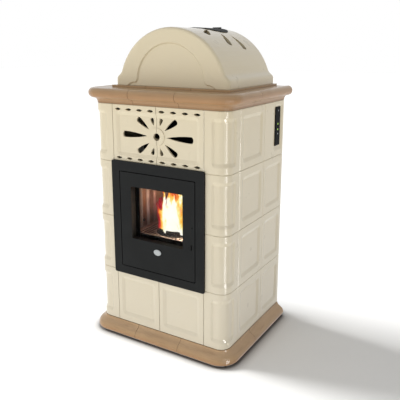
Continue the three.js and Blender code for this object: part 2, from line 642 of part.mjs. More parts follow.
const lidHigh = vault.radius + lid.proud;
const lidLow = lidHigh - lid.plate;
const collarHigh = lidLow - gap;
const collarLow = collarHigh - lid.collar;
const hingeLidY = lid.centre + lid.halfLong + lid.knuckle;
const hingeLidZ = vaultCentre + lidHigh + lid.knuckle - lid.plate;
const neckWide = lid.halfWide - lid.lip - gap;
const neckLong = lid.halfLong - lid.lip - gap;
const neckLow = hopper.top - lid.neckDeep;

function fillerCollar() {
  const neckTop = vaultCentre + Math.sqrt(collarHigh ** 2 - neckWide ** 2) - weld;
  const neck = oval(neckWide, neckLong, lid.centre, neckLow, neckTop + lid.lip);
  const crown = curvedOval(collarLow, collarHigh, lid.halfWide, lid.halfLong);
  const cap = prismY((() => {
    const shape = new THREE.Shape();
    shape.absarc(0, vaultCentre, collarHigh, 0, Math.PI);
    return shape;
  })(), -vault.front, vault.rear, { curveSegments: 16 });
  const bore = oval(neckWide - sheet, neckLong - sheet, lid.centre, neckLow - overrun, crest + lid.lip);
  const earX = lid.knuckleHalf + lid.earGap;
  let shape = cut(join(neck.intersect(cap), crown), bore);
  for (const [, sign] of sides) {
    const [x0, x1] = sign > 0 ? [earX, earX + lid.ear] : [-earX - lid.ear, -earX];
    const ear = block(x0, x1, hingeLidY - lid.knuckle, hingeLidY + lid.knuckle, vaultCentre + collarLow, hingeLidZ + lid.knuckle);
    const strap = block(x0, x1, lid.centre + lid.halfLong - lid.lip, hingeLidY, vaultCentre + collarLow,
      vaultCentre + Math.sqrt(collarHigh ** 2 - (earX + lid.ear) ** 2));
    shape = join(shape, ear, strap);
  }
  return cut(shape, rod(lid.pin + gap, [-beyondX, hingeLidY, hingeLidZ], [beyondX, hingeLidY, hingeLidZ], 16));
}

function hopperLid() {
  const plate = curvedOval(lidLow, lidHigh, lid.halfWide, lid.halfLong);
  const earX = lid.knuckleHalf + lid.earGap;
  const notch = (sign) => block(
    sign > 0 ? earX - lid.earGap : -earX - lid.ear - lid.earGap, sign > 0 ? earX + lid.ear + lid.earGap : -earX + lid.earGap,
    hingeLidY - lid.knuckle - lid.earGap - lid.knuckle, hingeLidY + lid.knuckle, vaultCentre, hingeLidZ + lid.lip);
  const knuckle = rod(lid.knuckle, [-lid.knuckleHalf, hingeLidY, hingeLidZ], [lid.knuckleHalf, hingeLidY, hingeLidZ], 16);
  const pinEnd = lid.knuckleHalf + lid.earGap + lid.ear;
  const pin = rod(lid.pin, [-pinEnd, hingeLidY, hingeLidZ], [pinEnd, hingeLidY, hingeLidZ], 16);
  const tab = block(-lid.knuckleHalf, lid.knuckleHalf, lid.centre + lid.halfLong - lid.lip, hingeLidY,
    vaultCentre + lidLow, vaultCentre + lidHigh);
  return join(cut(plate, notch(1), notch(-1)), tab, knuckle, pin);
}
add('top_vault', topVault(), 'cream');
add('filler_collar', fillerCollar(), 'black');
add('hopper_lid', hopperLid(), 'black');

// Door frame

function plate(width, height, round, y0, y1, x, z) {
  return at(prismY(roundedRect(width, height, round), y0, y1, { curveSegments: 2 }), x, 0, z);
}

const openingWidth = leafWidth + 2 * slide;
const openingHeight = leafHeight + 2 * slide;
const collarEnd = -firebox.front - gap;

function doorFrame() {
  const faceplate = plate(frameWidth, frameHeight, frame.round, frameFront, frontY - gap, 0, doorCentreZ);
  const collar = plate(openingWidth + 2 * frame.collar, openingHeight + 2 * frame.collar, leaf.round,
    frontY - gap - weld, collarEnd, 0, leafCentreZ);
  const opening = plate(openingWidth, openingHeight, leaf.round, frameFront - overrun, collarEnd + overrun, 0, leafCentreZ);
  const keeper = block(
    leafWidth / 2, leafWidth / 2 + slide + frame.collar + overrun,
    leafBack + latch.stand - latch.keeperPlay, leafBack + latch.stand + latch.tongueThick + latch.keeperPlay,
    latchZ - latch.tongueWide / 2 - latch.keeperPlay, latchZ + latch.tongueLong);
  const pins = [1, -1].map((sign) => {
    const edge = leafCentreZ + sign * (leafHeight / 2);
    return rod(hinge.pin, [hingeX, hingeY, edge - sign * hinge.reach], [hingeX, hingeY, edge + sign * (slide + weld)], 16);
  });
  return join(cut(join(faceplate, collar), opening, keeper), ...pins);
}
add('door_frame', doorFrame(), 'black');

// Door leaf: a shallow steel box with a deep window well

function fireDoor() {
  const whole = plate(leafWidth, leafHeight, leaf.round, frameFront, leafBack, 0, leafCentreZ);
  const hollow = plate(leafWidth - 2 * leaf.side, leafHeight - 2 * leaf.side, leaf.round,
    frameFront + leaf.plate, leafBack + overrun, 0, leafCentreZ);
  const wellOuter = plate(windowWidth + 2 * leaf.wellWall, windowHeight + 2 * leaf.wellWall, leaf.round,
    frameFront + leaf.plate - weld, frameFront + leaf.well - gap, 0, windowCentreZ);
  const window = plate(windowWidth, windowHeight, leaf.round, frameFront - overrun, leafBack, 0, windowCentreZ);
  const blocks = [1, -1].map((sign) => {
    const edge = leafCentreZ + sign * (leafHeight / 2);
    const [z0, z1] = sign > 0 ? [edge - leaf.side - hinge.deep, edge - leaf.side + weld]
      : [edge + leaf.side - weld, edge + leaf.side + hinge.deep];
    return block(-leafWidth / 2 + weld, -leafWidth / 2 + weld + 4 * hinge.pin, frameFront + weld,
      frameFront + 4 * hinge.pin, z0, z1);
  });
  const holes = [1, -1].map((sign) => {
    const edge = leafCentreZ + sign * (leafHeight / 2);
    return rod(hinge.pin + hinge.play, [hingeX, hingeY, edge - sign * hinge.deep], [hingeX, hingeY, edge + sign * overrun], 16);
  });
  const boss = rod(latch.radius + leaf.side, [latchX, frameFront + leaf.plate - weld, latchZ],
    [latchX, leafBack - gap, latchZ], 24).intersect(
    block(0, leafWidth / 2, frameFront, leafBack, latchZ - leafHeight, latchZ + leafHeight));
  const latchHole = rod(latch.radius + latch.play, [latchX, frameFront - overrun, latchZ], [latchX, leafBack + overrun, latchZ]);
  const [spotX, spotZ] = [leafWidth / 2 - pinhole.fromEdge, leafCentreZ + pinhole.rise];
  const spot = rod(pinhole.radius, [spotX, frameFront - overrun, spotZ], [spotX, frameFront + pinhole.deep, spotZ], 12);
  return cut(join(cut(whole, hollow), wellOuter, boss, ...blocks), window, latchHole, spot, ...holes);
}
add('fire_door', fireDoor(), 'black');

add('door_glass', plate(
  windowWidth + 2 * glass.lap, windowHeight + 2 * glass.lap, leaf.round,
  frameFront + leaf.well, frameFront + leaf.well + glass.thick, 0, windowCentreZ), 'glass');

function doorLatch() {
  const tongueFrom = leafBack + latch.stand;
  const barrel = rod(latch.radius, [latchX, frameFront, latchZ], [latchX, tongueFrom + weld, latchZ]);
  const tongue = block(latchX - latch.tongueWide / 2, latchX + latch.tongueWide / 2, tongueFrom,
    tongueFrom + latch.tongueThick, latchZ - latch.tongueWide / 2, latchZ + latch.tongueLong);
  const slot = block(latchX - latch.slotWide / 2, latchX + latch.slotWide / 2, frameFront - overrun,
    frameFront + latch.slotDeep, latchZ - latch.slotLong / 2, latchZ + latch.slotLong / 2);
  return cut(join(barrel, tongue), slot);
}
add('door_latch', doorLatch(), 'black');

function doorBadge() {
  const geometry = new THREE.CylinderGeometry(1, 1, badge.thick, 32);
  geometry.scale(badge.wide / 2, 1, badge.high / 2);
  geometry.translate(badge.aside, frameFront - gap - badge.thick / 2,
    windowCentreZ - windowHeight / 2 - badge.drop);
  return solid(geometry);
}
add('door_badge', doorBadge(), 'zinc');

// Firebox with its flange, skirts and smoke passage

function ductShape(inset) {
  const shape = new THREE.Shape();
  const wall = -firebox.rear - weld;
  shape.moveTo(wall, firebox.ductLow + inset);
  shape.lineTo(firebox.ductEnd - inset, firebox.ductLow + inset);
  shape.lineTo(firebox.ductEnd - inset, firebox.ductHigh - inset);
  shape.lineTo(-firebox.rear + firebox.riserDeep - inset, firebox.ductHigh - inset);
  shape.lineTo(-firebox.rear + firebox.riserDeep - inset, firebox.riserHigh - inset);
  shape.lineTo(wall, firebox.riserHigh - inset);
  return shape;
}

function fireBox() {
  const [y0, y1] = [-firebox.front + firebox.flangeThick - weld, -firebox.rear];
  const shell = cut(
    block(-firebox.half, firebox.half, y0, y1, firebox.low, firebox.high),
    block(-firebox.half + firebox.wall, firebox.half - firebox.wall, y0 - overrun, y1 - firebox.wall,
      firebox.low + firebox.wall, firebox.high - firebox.wall));
  const flange = cut(
    block(-firebox.flange, firebox.flange, -firebox.front, -firebox.front + firebox.flangeThick,
      firebox.flangeLow, firebox.flangeHigh),
    block(-firebox.mouthHalf, firebox.mouthHalf, -firebox.front - overrun, y0 + overrun,
      firebox.mouthLow, firebox.mouthHigh));
  const skirts = sides.map(([, sign]) => {
    const [x0, x1] = sign > 0 ? [firebox.half - firebox.skirt, firebox.half] : [-firebox.half, -firebox.half + firebox.skirt];
    return block(x0, x1, y0 + overrun, y1, baseTop + gap, firebox.low + weld);
  });
  const rearSkirt = block(0, firebox.half, y1 - firebox.skirt, y1, baseTop + gap, firebox.low + weld);
  const duct = prism(ductShape(0), 0, firebox.ductWide, acrossX);
  const ductHollow = prism(ductShape(sheet), sheet, firebox.ductWide - sheet, acrossX);
  const backWall = block(-firebox.half, 0, y1 - firebox.wall, y1, firebox.low, firebox.high);
  const smokePort = block(2 * sheet, firebox.ductWide - 2 * sheet, y1 - 2 * firebox.wall, y1 + overrun,
    firebox.smokeLow, firebox.smokeHigh);
  const fanPort = rod(smokeFan.inlet, [firebox.ductWide / 2, smokeFan.y, smokeFan.z],
    [firebox.ductWide + overrun, smokeFan.y, smokeFan.z]);
  const pelletPort = rod(firebox.portRadius, [0, y1 - 2 * firebox.wall, auger.startZ],
    [0, y1 + overrun, auger.startZ]);
  const body = join(shell, flange, ...skirts, rearSkirt, backWall);
  return cut(join(body, cut(duct, ductHollow)), smokePort, fanPort, pelletPort);
}
add('firebox', fireBox(), 'iron');

// Ribbed liner: the plan outline of a folded sheet on three sides

function linerShape() {
  const outer = firebox.half - firebox.wall - gap;
  const inner = outer - liner.fold;
  const front = -firebox.front + liner.clearance + firebox.flangeThick;
  const rear = -firebox.rear - firebox.wall - liner.rearInset;
  const side = [];
  let y = front;
  for (let i = 0; i < liner.folds; i += 1) {
    side.push([inner, y], [inner, y + liner.flat], [outer, y + liner.flat + liner.slope],
      [outer, y + 2 * liner.flat + liner.slope]);
    y += 2 * liner.flat + 2 * liner.slope;
  }
  side.push([inner, rear]);
  const shape = new THREE.Shape();
  const thick = liner.plate;
  side.forEach(([x, at_], i) => (i ? shape.lineTo(x, at_) : shape.moveTo(x, at_)));
  [...side].reverse().forEach(([x, at_]) => shape.lineTo(-x, at_));
  side.forEach(([x, at_], i) => {
    const last = i === side.length - 1;
    shape.lineTo(-x + thick, last ? at_ - thick : at_);
  });
  [...side].reverse().forEach(([x, at_], i) => shape.lineTo(x - thick, i ? at_ : at_ - thick));
  return shape;
}
const hearthTop = hearth.high;
add('fire_liner', cut(
  prism(linerShape(), hearthTop + gap, hearthTop + gap + liner.high),
  rod(firebox.portRadius, [0, -firebox.front / 2, auger.startZ], [0, -firebox.rear, auger.startZ])), 'liner');

// Hearth plate with slots, and the burn pot hung in it

function hearthPlate() {
  const half = firebox.half - firebox.wall - gap;
  const [y0, y1] = [-firebox.front + firebox.flangeThick, -firebox.rear - firebox.wall - gap];
  let shape = cut(
    block(-half, half, y0, y1, hearthTop - hearth.thick, hearthTop),
    oval(pot.halfWide + gap, pot.halfDeep + gap, -pot.centre, hearthTop - 2 * hearth.thick, hearthTop + overrun));
  const first = half - liner.fold - liner.plate - hearth.slotMargin;
  const count = Math.floor(2 * first / hearth.pitch);
  for (let i = 0; i <= count; i += 1) {
    const x = -count * hearth.pitch / 2 + i * hearth.pitch;
    const beside = Math.abs(x) > pot.halfWide + hearth.barMargin;
    const potEdge = beside ? 0
      : (pot.halfDeep + pot.lip + hearth.barMargin / 2) * Math.sqrt(1 - (x / (pot.halfWide + 2 * hearth.barMargin)) ** 2);
    const slotEnd = beside ? y1 - liner.rearInset - hearth.barMargin : -pot.centre - potEdge;
    const slotStart = y0 + hearth.frontBar;
    if (slotEnd > slotStart) {
      shape = cut(shape, block(x - hearth.slotWide / 2, x + hearth.slotWide / 2, slotStart, slotEnd,
        hearthTop - 2 * hearth.thick, hearthTop + overrun));
    }
  }
  const ledge = block(-half, half, y1 - hearth.thick, y1, firebox.low + firebox.wall + gap, hearthTop - weld);
  return join(shape, ledge);
}
add('hearth_plate', hearthPlate(), 'iron');

function burnPot() {
  const cup = oval(pot.halfWide, pot.halfDeep, -pot.centre, pot.low, pot.rim);
  const lip = oval(pot.halfWide + pot.lip, pot.halfDeep + pot.lip, -pot.centre, hearthTop + gap, hearthTop + gap + pot.lipThick);
  const hollow = oval(pot.halfWide - pot.wall, pot.halfDeep - pot.wall, -pot.centre, pot.low + pot.wall, pot.rim + overrun);
  let shape = cut(join(cup, lip), hollow);
  for (let i = 0; i < sunburst.count + 1; i += 1) {
    const turn = i / (sunburst.count + 1) * Math.PI * 2;
    const [x, y] = [pot.holeRing * Math.cos(turn), -pot.centre + pot.holeRing * Math.sin(turn)];
    shape = cut(shape, rod(pot.hole, [x, y, pot.low - overrun], [x, y, pot.low + 2 * pot.wall], 8));
  }
  return shape;
}
add('burn_pot', burnPot(), 'iron');

add('ash_drawer', cut(
  block(-drawer.half, drawer.half, -drawer.front, -drawer.rear, drawer.low, drawer.high),
  block(-drawer.half + drawer.wall, drawer.half - drawer.wall, -drawer.front + drawer.wall, -drawer.rear - drawer.wall,
    drawer.low + drawer.wall, drawer.high + overrun)), 'steel');

// Pellet feed: everything on the auger's axis is made along +Z, then leaned back and placed

const lean = 90 + auger.slope;
const slopeTurn = auger.slope * Math.PI / 180;
const augerDown = [0, Math.cos(slopeTurn), -Math.sin(slopeTurn)];

function onAuger(shape) {
  return at(shape.rotate([-lean, 0, 0]), 0, auger.startY, auger.startZ);
}

function augerPoint(along) {
  return [0, auger.startY + augerDown[1] * along, auger.startZ + augerDown[2] * along];
}

const tubeStart = -2 * auger.tube;
const hopperY = (hopper.front + hopper.rear) / 2;

function augerTube() {
  const wallY = block(-beyondX, beyondX, -beyondX, auger.startY, 0, crest);
  const outer = onAuger(rod(auger.tube, [0, 0, tubeStart], [0, 0, auger.long]));
  const bore = onAuger(rod(auger.bore, [0, 0, tubeStart - overrun], [0, 0, auger.long - auger.endWall]));
  const shaftHole = onAuger(rod(auger.shaft + gap, [0, 0, 0], [0, 0, auger.long + overrun], 16));
  const mouth = block(-auger.inletHalf, auger.inletHalf, hopperY - auger.inletLong / 2, hopperY + auger.inletLong / 2,
    augerPoint((hopperY - auger.startY) / augerDown[1])[2], crest);
  return cut(outer, bore, shaftHole, mouth, wallY);
}
add('auger_tube', augerTube(), 'zinc');

function augerScrew() {
  const [start, end] = [auger.head, auger.long - auger.endWall - auger.head / 2];
  const stepsPerTurn = 9;
  const steps = Math.round((end - start) / auger.pitch * stepsPerTurn);
  const flight = new THREE.BoxGeometry(auger.flight, auger.blade, end - start, 1, 1, steps);
  flight.translate(auger.flight / 2, 0, (start + end) / 2);
  const spot = flight.attributes.position;
  for (let i = 0; i < spot.count; i += 1) {
    const [x, y, z] = [spot.getX(i), spot.getY(i), spot.getZ(i)];
    const turn = z / auger.pitch * Math.PI * 2;
    spot.setXY(i, x * Math.cos(turn) - y * Math.sin(turn), x * Math.sin(turn) + y * Math.cos(turn));
  }
  const shaft = rod(auger.shaft, [0, 0, start - auger.head / 2], [0, 0, auger.long + auger.tail], 16);
  return onAuger(join(solid(flight), shaft));
}
add('auger_screw', augerScrew(), 'steel');

function gearMotor() {
  const start = auger.long + gap;
  const half = motor.wide / 2;
  const box = block(-half, half, -half, half, start, start + motor.long);
  const can = rod(motor.can, [0, 0, start + motor.long - weld], [0, 0, start + motor.long + motor.canLong], 20);
  const bore = rod(auger.shaft + motor.bore, [0, 0, start - overrun], [0, 0, auger.long + auger.tail + overrun], 16);
  return onAuger(cut(join(box, can), bore));
}
add('auger_gearmotor', gearMotor(), 'zinc');

function pelletHopper() {
  const deep = (hopper.rear - hopper.front) / 2;
  const share = sheet / hopper.half;
  const outer = join(
    block(-hopper.half, hopper.half, hopper.front, hopper.rear, hopper.waist - weld, hopper.top),
    funnel([hopper.throatHalf, hopper.throatDeep], [hopper.half, deep], hopperY, hopper.throat, hopper.waist),
    block(-hopper.throatHalf, hopper.throatHalf, hopperY - hopper.throatDeep, hopperY + hopper.throatDeep,
      hopper.floor, hopper.throat + weld),
    block(-hopper.flange, hopper.flange, hopper.front - overrun, hopper.rear + overrun,
      ringTop + gap, ringTop + gap + hopper.flangeThick));
  const throatIn = hopper.throatHalf - sheet;
  const inner = join(
    block(-hopper.half + sheet, hopper.half - sheet, hopper.front + sheet, hopper.rear - sheet,
      hopper.waist - weld, hopper.top - sheet),
    funnel([throatIn, hopper.throatDeep - sheet], [hopper.half - sheet, deep * (1 - share)], hopperY,
      hopper.throat, hopper.waist),
    block(-throatIn, throatIn, hopperY - hopper.throatDeep + sheet, hopperY + hopper.throatDeep - sheet,
      hopper.floor - overrun, hopper.throat + weld));
  const mouth = oval(neckWide + gap, neckLong + gap, lid.centre, hopper.top - 2 * sheet, hopper.top + overrun);
  const tubeSpace = onAuger(rod(auger.tube + gap, [0, 0, tubeStart], [0, 0, auger.long + motor.long]));
  return cut(outer, inner, mouth, tubeSpace);
}
add('pellet_hopper', pelletHopper(), 'zinc');

// Smoke fan

const spigotZ = smokeFan.z + smokeFan.spigotRise;
const spigotX = (smokeFan.near + smokeFan.far) / 2;
const spigotEnd = rearY + corniceOut;

function smokeHousing() {
  const axis = (from, to, radius, facets) => rod(radius, [from, smokeFan.y, smokeFan.z], [to, smokeFan.y, smokeFan.z], facets);
  const drum = axis(smokeFan.near, smokeFan.far, smokeFan.radius, 28);
  const spigot = rod(smokeFan.spigot, [spigotX, smokeFan.y, spigotZ], [spigotX, spigotEnd, spigotZ], 32);
  const can = axis(smokeFan.far - weld, smokeFan.far + smokeFan.canLong, smokeFan.can, 24);
  const foot = block(smokeFan.near + smokeFan.wall, smokeFan.far - smokeFan.wall,
    smokeFan.y - smokeFan.foot, smokeFan.y + smokeFan.foot, baseTop + gap, smokeFan.z - smokeFan.spigotRise);
  const hollow = axis(smokeFan.near + smokeFan.wall, smokeFan.far - smokeFan.wall, smokeFan.radius - smokeFan.wall, 28);
  const bore = rod(smokeFan.spigot - smokeFan.spigotWall, [spigotX, smokeFan.y, spigotZ],
    [spigotX, spigotEnd + overrun, spigotZ], 32)
    .intersect(block(smokeFan.near + smokeFan.wall, smokeFan.far, 0, beyondX, 0, crest));
  const eye = axis(smokeFan.near - overrun, smokeFan.near + smokeFan.wall + overrun, smokeFan.inlet, 24);
  const shaftHole = axis(smokeFan.far - 2 * smokeFan.wall, smokeFan.far + smokeFan.canLong / 2, smokeFan.shaft + gap, 16);
  return cut(join(drum, spigot, can, foot), hollow, bore, eye, shaftHole);
}
add('smoke_fan_housing', smokeHousing(), 'zinc');

function smokeImpeller() {
  const end = smokeFan.far - smokeFan.wall - smokeFan.wheelGap;
  const axis = (from, to, radius, facets) => rod(radius, [from, 0, 0], [to, 0, 0], facets);
  let wheel = join(
    axis(end - smokeFan.disc, end, smokeFan.wheel, 24),
    axis(end - smokeFan.disc - smokeFan.bladeLong / 2, smokeFan.far + smokeFan.canLong / 2 - overrun, smokeFan.shaft, 16));
  for (let i = 0; i < smokeFan.blades; i += 1) {
    const blade = block(end - smokeFan.disc - smokeFan.bladeLong, end - smokeFan.disc + weld,
      -smokeFan.bladeThick / 2, smokeFan.bladeThick / 2, smokeFan.bladeIn, smokeFan.wheel - overrun);
    wheel = join(wheel, blade.rotate([i / smokeFan.blades * 360, 0, 0]));
  }
  return at(wheel, 0, smokeFan.y, smokeFan.z);
}
add('smoke_impeller', smokeImpeller(), 'steel');

// Room fan: a long cross-flow rotor between two end plates on a scroll tray

function roomHousing() {
  const reach = roomFan.radius + roomFan.clearance;
  const ends = sides.map(([, sign]) => {
    const near = roomFan.half + roomFan.bladePlay;
    const [x0, x1] = sign > 0 ? [near, near + roomFan.end] : [-near - roomFan.end, -near];
    return block(x0, x1, roomFan.y - reach, roomFan.y + reach, baseTop + gap, roomFan.z + reach);
  });
  const outer = roomFan.half + roomFan.bladePlay + roomFan.end;
  const tray = block(-outer, outer, roomFan.y - reach, roomFan.y + reach, roomFan.z - reach - roomFan.scroll,
    roomFan.z - reach);
  const rearWall = block(-outer, outer, roomFan.y + reach - roomFan.scroll, roomFan.y + reach,
    roomFan.z - reach - weld, roomFan.z + reach);
  const can = rod(roomFan.can, [outer - weld, roomFan.y, roomFan.z], [outer + roomFan.canLong, roomFan.y, roomFan.z], 20);
  const shaftHole = rod(roomFan.shaft + gap, [-outer - overrun, roomFan.y, roomFan.z],
    [outer + roomFan.canLong / 2, roomFan.y, roomFan.z], 16);
  return cut(join(...ends, tray, rearWall, can), shaftHole);
}
add('room_fan_housing', roomHousing(), 'zinc');

function roomRotor() {
  const shaftEnd = roomFan.half + roomFan.bladePlay + roomFan.end;
  let rotor = rod(roomFan.shaft, [-shaftEnd, 0, 0], [shaftEnd + roomFan.canLong / 4, 0, 0], 16);
  for (const x of [-roomFan.half, -roomFan.disc / 2, roomFan.half - roomFan.disc]) {
    rotor = join(rotor, rod(roomFan.radius, [x, 0, 0], [x + roomFan.disc, 0, 0], 20));
  }
  for (let i = 0; i < roomFan.slats; i += 1) {
    const slat = block(-roomFan.half + weld, roomFan.half - weld, -roomFan.slatThick / 2, roomFan.slatThick / 2,
      roomFan.radius - roomFan.slatDeep, roomFan.radius - weld);
    rotor = join(rotor, slat.rotate([i / roomFan.slats * 360, 0, 0]));
  }
  return at(rotor, 0, roomFan.y, roomFan.z);
}
add('room_fan_rotor', roomRotor(), 'steel');

// Chassis

function chassis() {
  let shape = block(-baseHalf, baseHalf, -baseFront, rearY, base.footHigh, baseTop);
  for (const x of [-baseHalf + base.footInsetX, baseHalf - base.footInsetX]) {
    for (const y of [-baseFront + base.footInsetY, rearY - base.footInsetY]) {
      shape = join(shape, rod(base.foot, [x, y, 0], [x, y, base.footHigh + weld], 20));
    }
  }
  const post = (x0, x1, y0, y1) => block(x0, x1, y0, y1, baseTop - weld, ringTop);
  const rearFace = backY - sheet - gap;
  const lining = (inset) => prism(casingPlan(tile.depth + gap + inset), baseTop - weld, ringTop);
  const frontPost = cut(lining(0), lining(rail.thick)).intersect(
    post(innerHalf - rail.leg, innerHalf, innerFront, innerFront + rail.leg));
  for (const [, sign] of sides) {
    const posts = join(
      frontPost,
      post(innerHalf - rail.thick, innerHalf, sideSeamY - rail.strip, sideSeamY + rail.strip),
      post(innerHalf - rail.thick, innerHalf, rearFace - rail.rear, rearFace),
      post(innerHalf - rail.rear, innerHalf, rearFace - rail.thick, rearFace));
    shape = join(shape, mirrored(posts, sign));
  }
  const ring = cut(
    lining(0).intersect(block(-innerHalf, innerHalf, innerFront, rearFace, ringTop - rail.thick, ringTop)),
    block(-rail.ringHalf, rail.ringHalf, rail.ringFront, hopper.rear + overrun, ringTop - 2 * rail.thick, ringTop + overrun));
  const shoulders = cut(ring, block(-rail.ringHalf, rail.ringHalf, innerFront + rail.strip, 0,
    ringTop - 2 * rail.thick, ringTop + overrun));
  return join(shape, shoulders);
}
add('chassis', chassis(), 'black');

// Back panel with the air inlet, the flue hole and a row of vents

function backPanel() {
  let shape = block(-innerHalf, innerHalf, backY - sheet, backY, back.low, ringTop);
  const pipe = (radius, y0, y1) => rod(radius, [air.x, y0, air.z], [air.x, y1, air.z], 24);
  shape = join(shape, pipe(air.radius, backY - sheet, rearY + air.long));
  shape = cut(shape,
    pipe(air.radius - air.wall, backY - 2 * sheet, rearY + air.long + overrun),
    rod(smokeFan.spigot + gap, [spigotX, backY - 2 * sheet, spigotZ], [spigotX, backY + overrun, spigotZ], 32),
    block(inlet.x - inlet.wide / 2 - gap, inlet.x + inlet.wide / 2 + gap, backY - 2 * sheet, backY + overrun,
      inlet.z - inlet.high / 2 - gap, inlet.z + inlet.high / 2 + gap));
  for (let i = 0; i < back.vents; i += 1) {
    const z = back.ventLow + i * back.ventPitch;
    for (const x of [-back.ventWide, back.ventWide]) {
      shape = cut(shape, block(x - back.ventWide / 2, x + back.ventWide / 2, backY - 2 * sheet, backY + overrun,
        z, z + back.ventHigh));
    }
  }
  return shape;
}
add('back_panel', backPanel(), 'black');

// Power inlet with its socket and the pocket of the rocker

const rockerZ = inlet.z + rocker.rise;
const rockerY = backY + gap + inlet.lipThick - rocker.radius / 2;

function powerInlet() {
  const lipLow = backY + gap;
  const body = block(inlet.x - inlet.wide / 2, inlet.x + inlet.wide / 2, backY - inlet.deep, lipLow + weld,
    inlet.z - inlet.high / 2, inlet.z + inlet.high / 2);
  const lip = block(inlet.x - inlet.wide / 2 - inlet.lip, inlet.x + inlet.wide / 2 + inlet.lip, lipLow, lipLow + inlet.lipThick,
    inlet.z - inlet.high / 2 - inlet.lip, inlet.z + inlet.high / 2 + inlet.lip);
  const socket = block(inlet.x - inlet.socketWide / 2, inlet.x + inlet.socketWide / 2,
    lipLow - inlet.deep / 2, lipLow + inlet.lipThick + overrun,
    inlet.z - rocker.rise - inlet.socketHigh / 2, inlet.z - rocker.rise + inlet.socketHigh / 2);
  const pocket = rod(rocker.radius + rocker.play, [inlet.x - rocker.half - rocker.play, rockerY, rockerZ],
    [inlet.x + rocker.half + rocker.play, rockerY, rockerZ], 28);
  return cut(join(body, lip), socket, pocket);
}
add('power_inlet', powerInlet(), 'plastic');

function powerSwitch() {
  const drum = rod(rocker.radius, [inlet.x - rocker.half, rockerY, rockerZ], [inlet.x + rocker.half, rockerY, rockerZ], 28);
  const face = block(inlet.x - rocker.radius, inlet.x + rocker.radius, rockerY + rocker.flat, rockerY + 2 * rocker.radius,
    rockerZ - rocker.radius, rockerZ + rocker.radius);
  return cut(drum, face);
}
add('power_switch', powerSwitch(), 'grey');

// Control panel and its two keys

const panelFace = halfWidth - panel.setBack;
const keyPlaces = [['key_upper', panelZ + key.upper], ['key_lower', panelZ - key.lower]];
const keyRod = (z, radius, from, to) => rod(radius, [from, panelY, z], [to, panelY, z], 20);
add('control_panel', cut(
  block(panelFace - panel.thick, panelFace, panelY - panel.wide / 2, panelY + panel.wide / 2,
    panelZ - panel.high / 2, panelZ + panel.high / 2),
  ...keyPlaces.map(([, z]) => keyRod(z, key.radius + key.play, panelFace - key.pocket, panelFace + overrun))), 'plastic');
for (const [name, z] of keyPlaces) {
  add(name, keyRod(z, key.radius, panelFace + key.proud - key.long, panelFace + key.proud), 'grey');
}

export default stove;
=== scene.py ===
import math
import random

import bmesh
import bpy
from mathutils import Matrix, Vector


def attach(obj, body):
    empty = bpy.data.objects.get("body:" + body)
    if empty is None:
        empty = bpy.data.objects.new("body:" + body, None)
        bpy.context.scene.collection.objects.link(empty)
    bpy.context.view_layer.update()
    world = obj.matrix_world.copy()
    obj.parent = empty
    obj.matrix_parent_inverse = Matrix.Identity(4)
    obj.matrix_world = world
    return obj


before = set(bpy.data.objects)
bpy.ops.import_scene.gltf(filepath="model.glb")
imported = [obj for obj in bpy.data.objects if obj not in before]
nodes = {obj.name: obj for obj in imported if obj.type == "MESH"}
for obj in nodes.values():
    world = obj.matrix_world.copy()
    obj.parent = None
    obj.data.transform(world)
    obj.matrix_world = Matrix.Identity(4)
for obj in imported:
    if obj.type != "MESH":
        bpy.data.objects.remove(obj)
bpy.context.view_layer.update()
print("stove frame loaded:", len(nodes), "nodes")


# Camera

cameraSettings = {
    "place": (1.1312, -1.7994, 1.1527),
    "turn": 31.18,        # degrees to the left of straight on
    "tip": 13.1,          # degrees downwards
    "focal": 541.24,      # in pixels of a 400 pixel wide picture
    "rise": 30,           # pixels that the picture is shifted by
    "picture": 400,
    "sensor": 36,
}


def makeCamera(settings):
    lens = bpy.data.cameras.new("stoveCamera")
    lens.sensor_width = settings["sensor"]
    lens.lens = settings["focal"] / settings["picture"] * settings["sensor"]
    lens.shift_y = -settings["rise"] / settings["picture"]
    camera = bpy.data.objects.new("stoveCamera", lens)
    camera.location = settings["place"]
    camera.rotation_euler = (
        math.radians(90 - settings["tip"]), 0, math.radians(settings["turn"]))
    bpy.context.scene.collection.objects.link(camera)
    bpy.context.scene.camera = camera
    bpy.context.scene.view_settings.view_transform = "Standard"


makeCamera(cameraSettings)
print("camera set")


# Small helpers for node trees

noiseSpan = (0.3, 0.7)      # where nearly all values of a noise lie


def addNode(tree, kind, inputs=None, **properties):
    node = tree.nodes.new(kind)
    for name, value in properties.items():
        setattr(node, name, value)
    for key, value in (inputs or {}).items():
        if isinstance(value, bpy.types.NodeSocket):
            tree.links.new(value, node.inputs[key])
        else:
            node.inputs[key].default_value = value
    return node


def calc(tree, operation, first, second=0.0):
    return addNode(tree, "ShaderNodeMath", {0: first, 1: second}, operation=operation).outputs[0]


def hexColour(text):      # a web colour, turned into the linear numbers that shaders take
    channels = [int(text[i:i + 2], 16) / 255 for i in (0, 2, 4)]
    linear = [c / 12.92 if c <= 0.04045 else ((c + 0.055) / 1.055) ** 2.4 for c in channels]
    return (*linear, 1)


def asColour(value):
    if isinstance(value, str):
        return hexColour(value)
    return value if len(value) == 4 else (*value, 1)


def startMaterial(name, surfaceValues):
    material = bpy.data.materials.new(name)
    material.use_nodes = True
    tree = material.node_tree
    surface = tree.nodes["Principled BSDF"]
    for socket, value in surfaceValues.items():
        surface.inputs[socket].default_value = value
    place = addNode(tree, "ShaderNodeTexCoord").outputs["Object"]
    return material, tree, surface, place


def axisOf(tree, place, axis):
    return addNode(tree, "ShaderNodeSeparateXYZ", {"Vector": place}).outputs[axis]


def noise(tree, place, scale, detail, rough, stretch=None):
    if stretch:
        place = addNode(tree, "ShaderNodeMapping", {"Vector": place, "Scale": stretch}).outputs[0]
    return addNode(tree, "ShaderNodeTexNoise", {
        "Vector": place, "Scale": scale, "Detail": detail, "Roughness": rough}).outputs["Fac"]


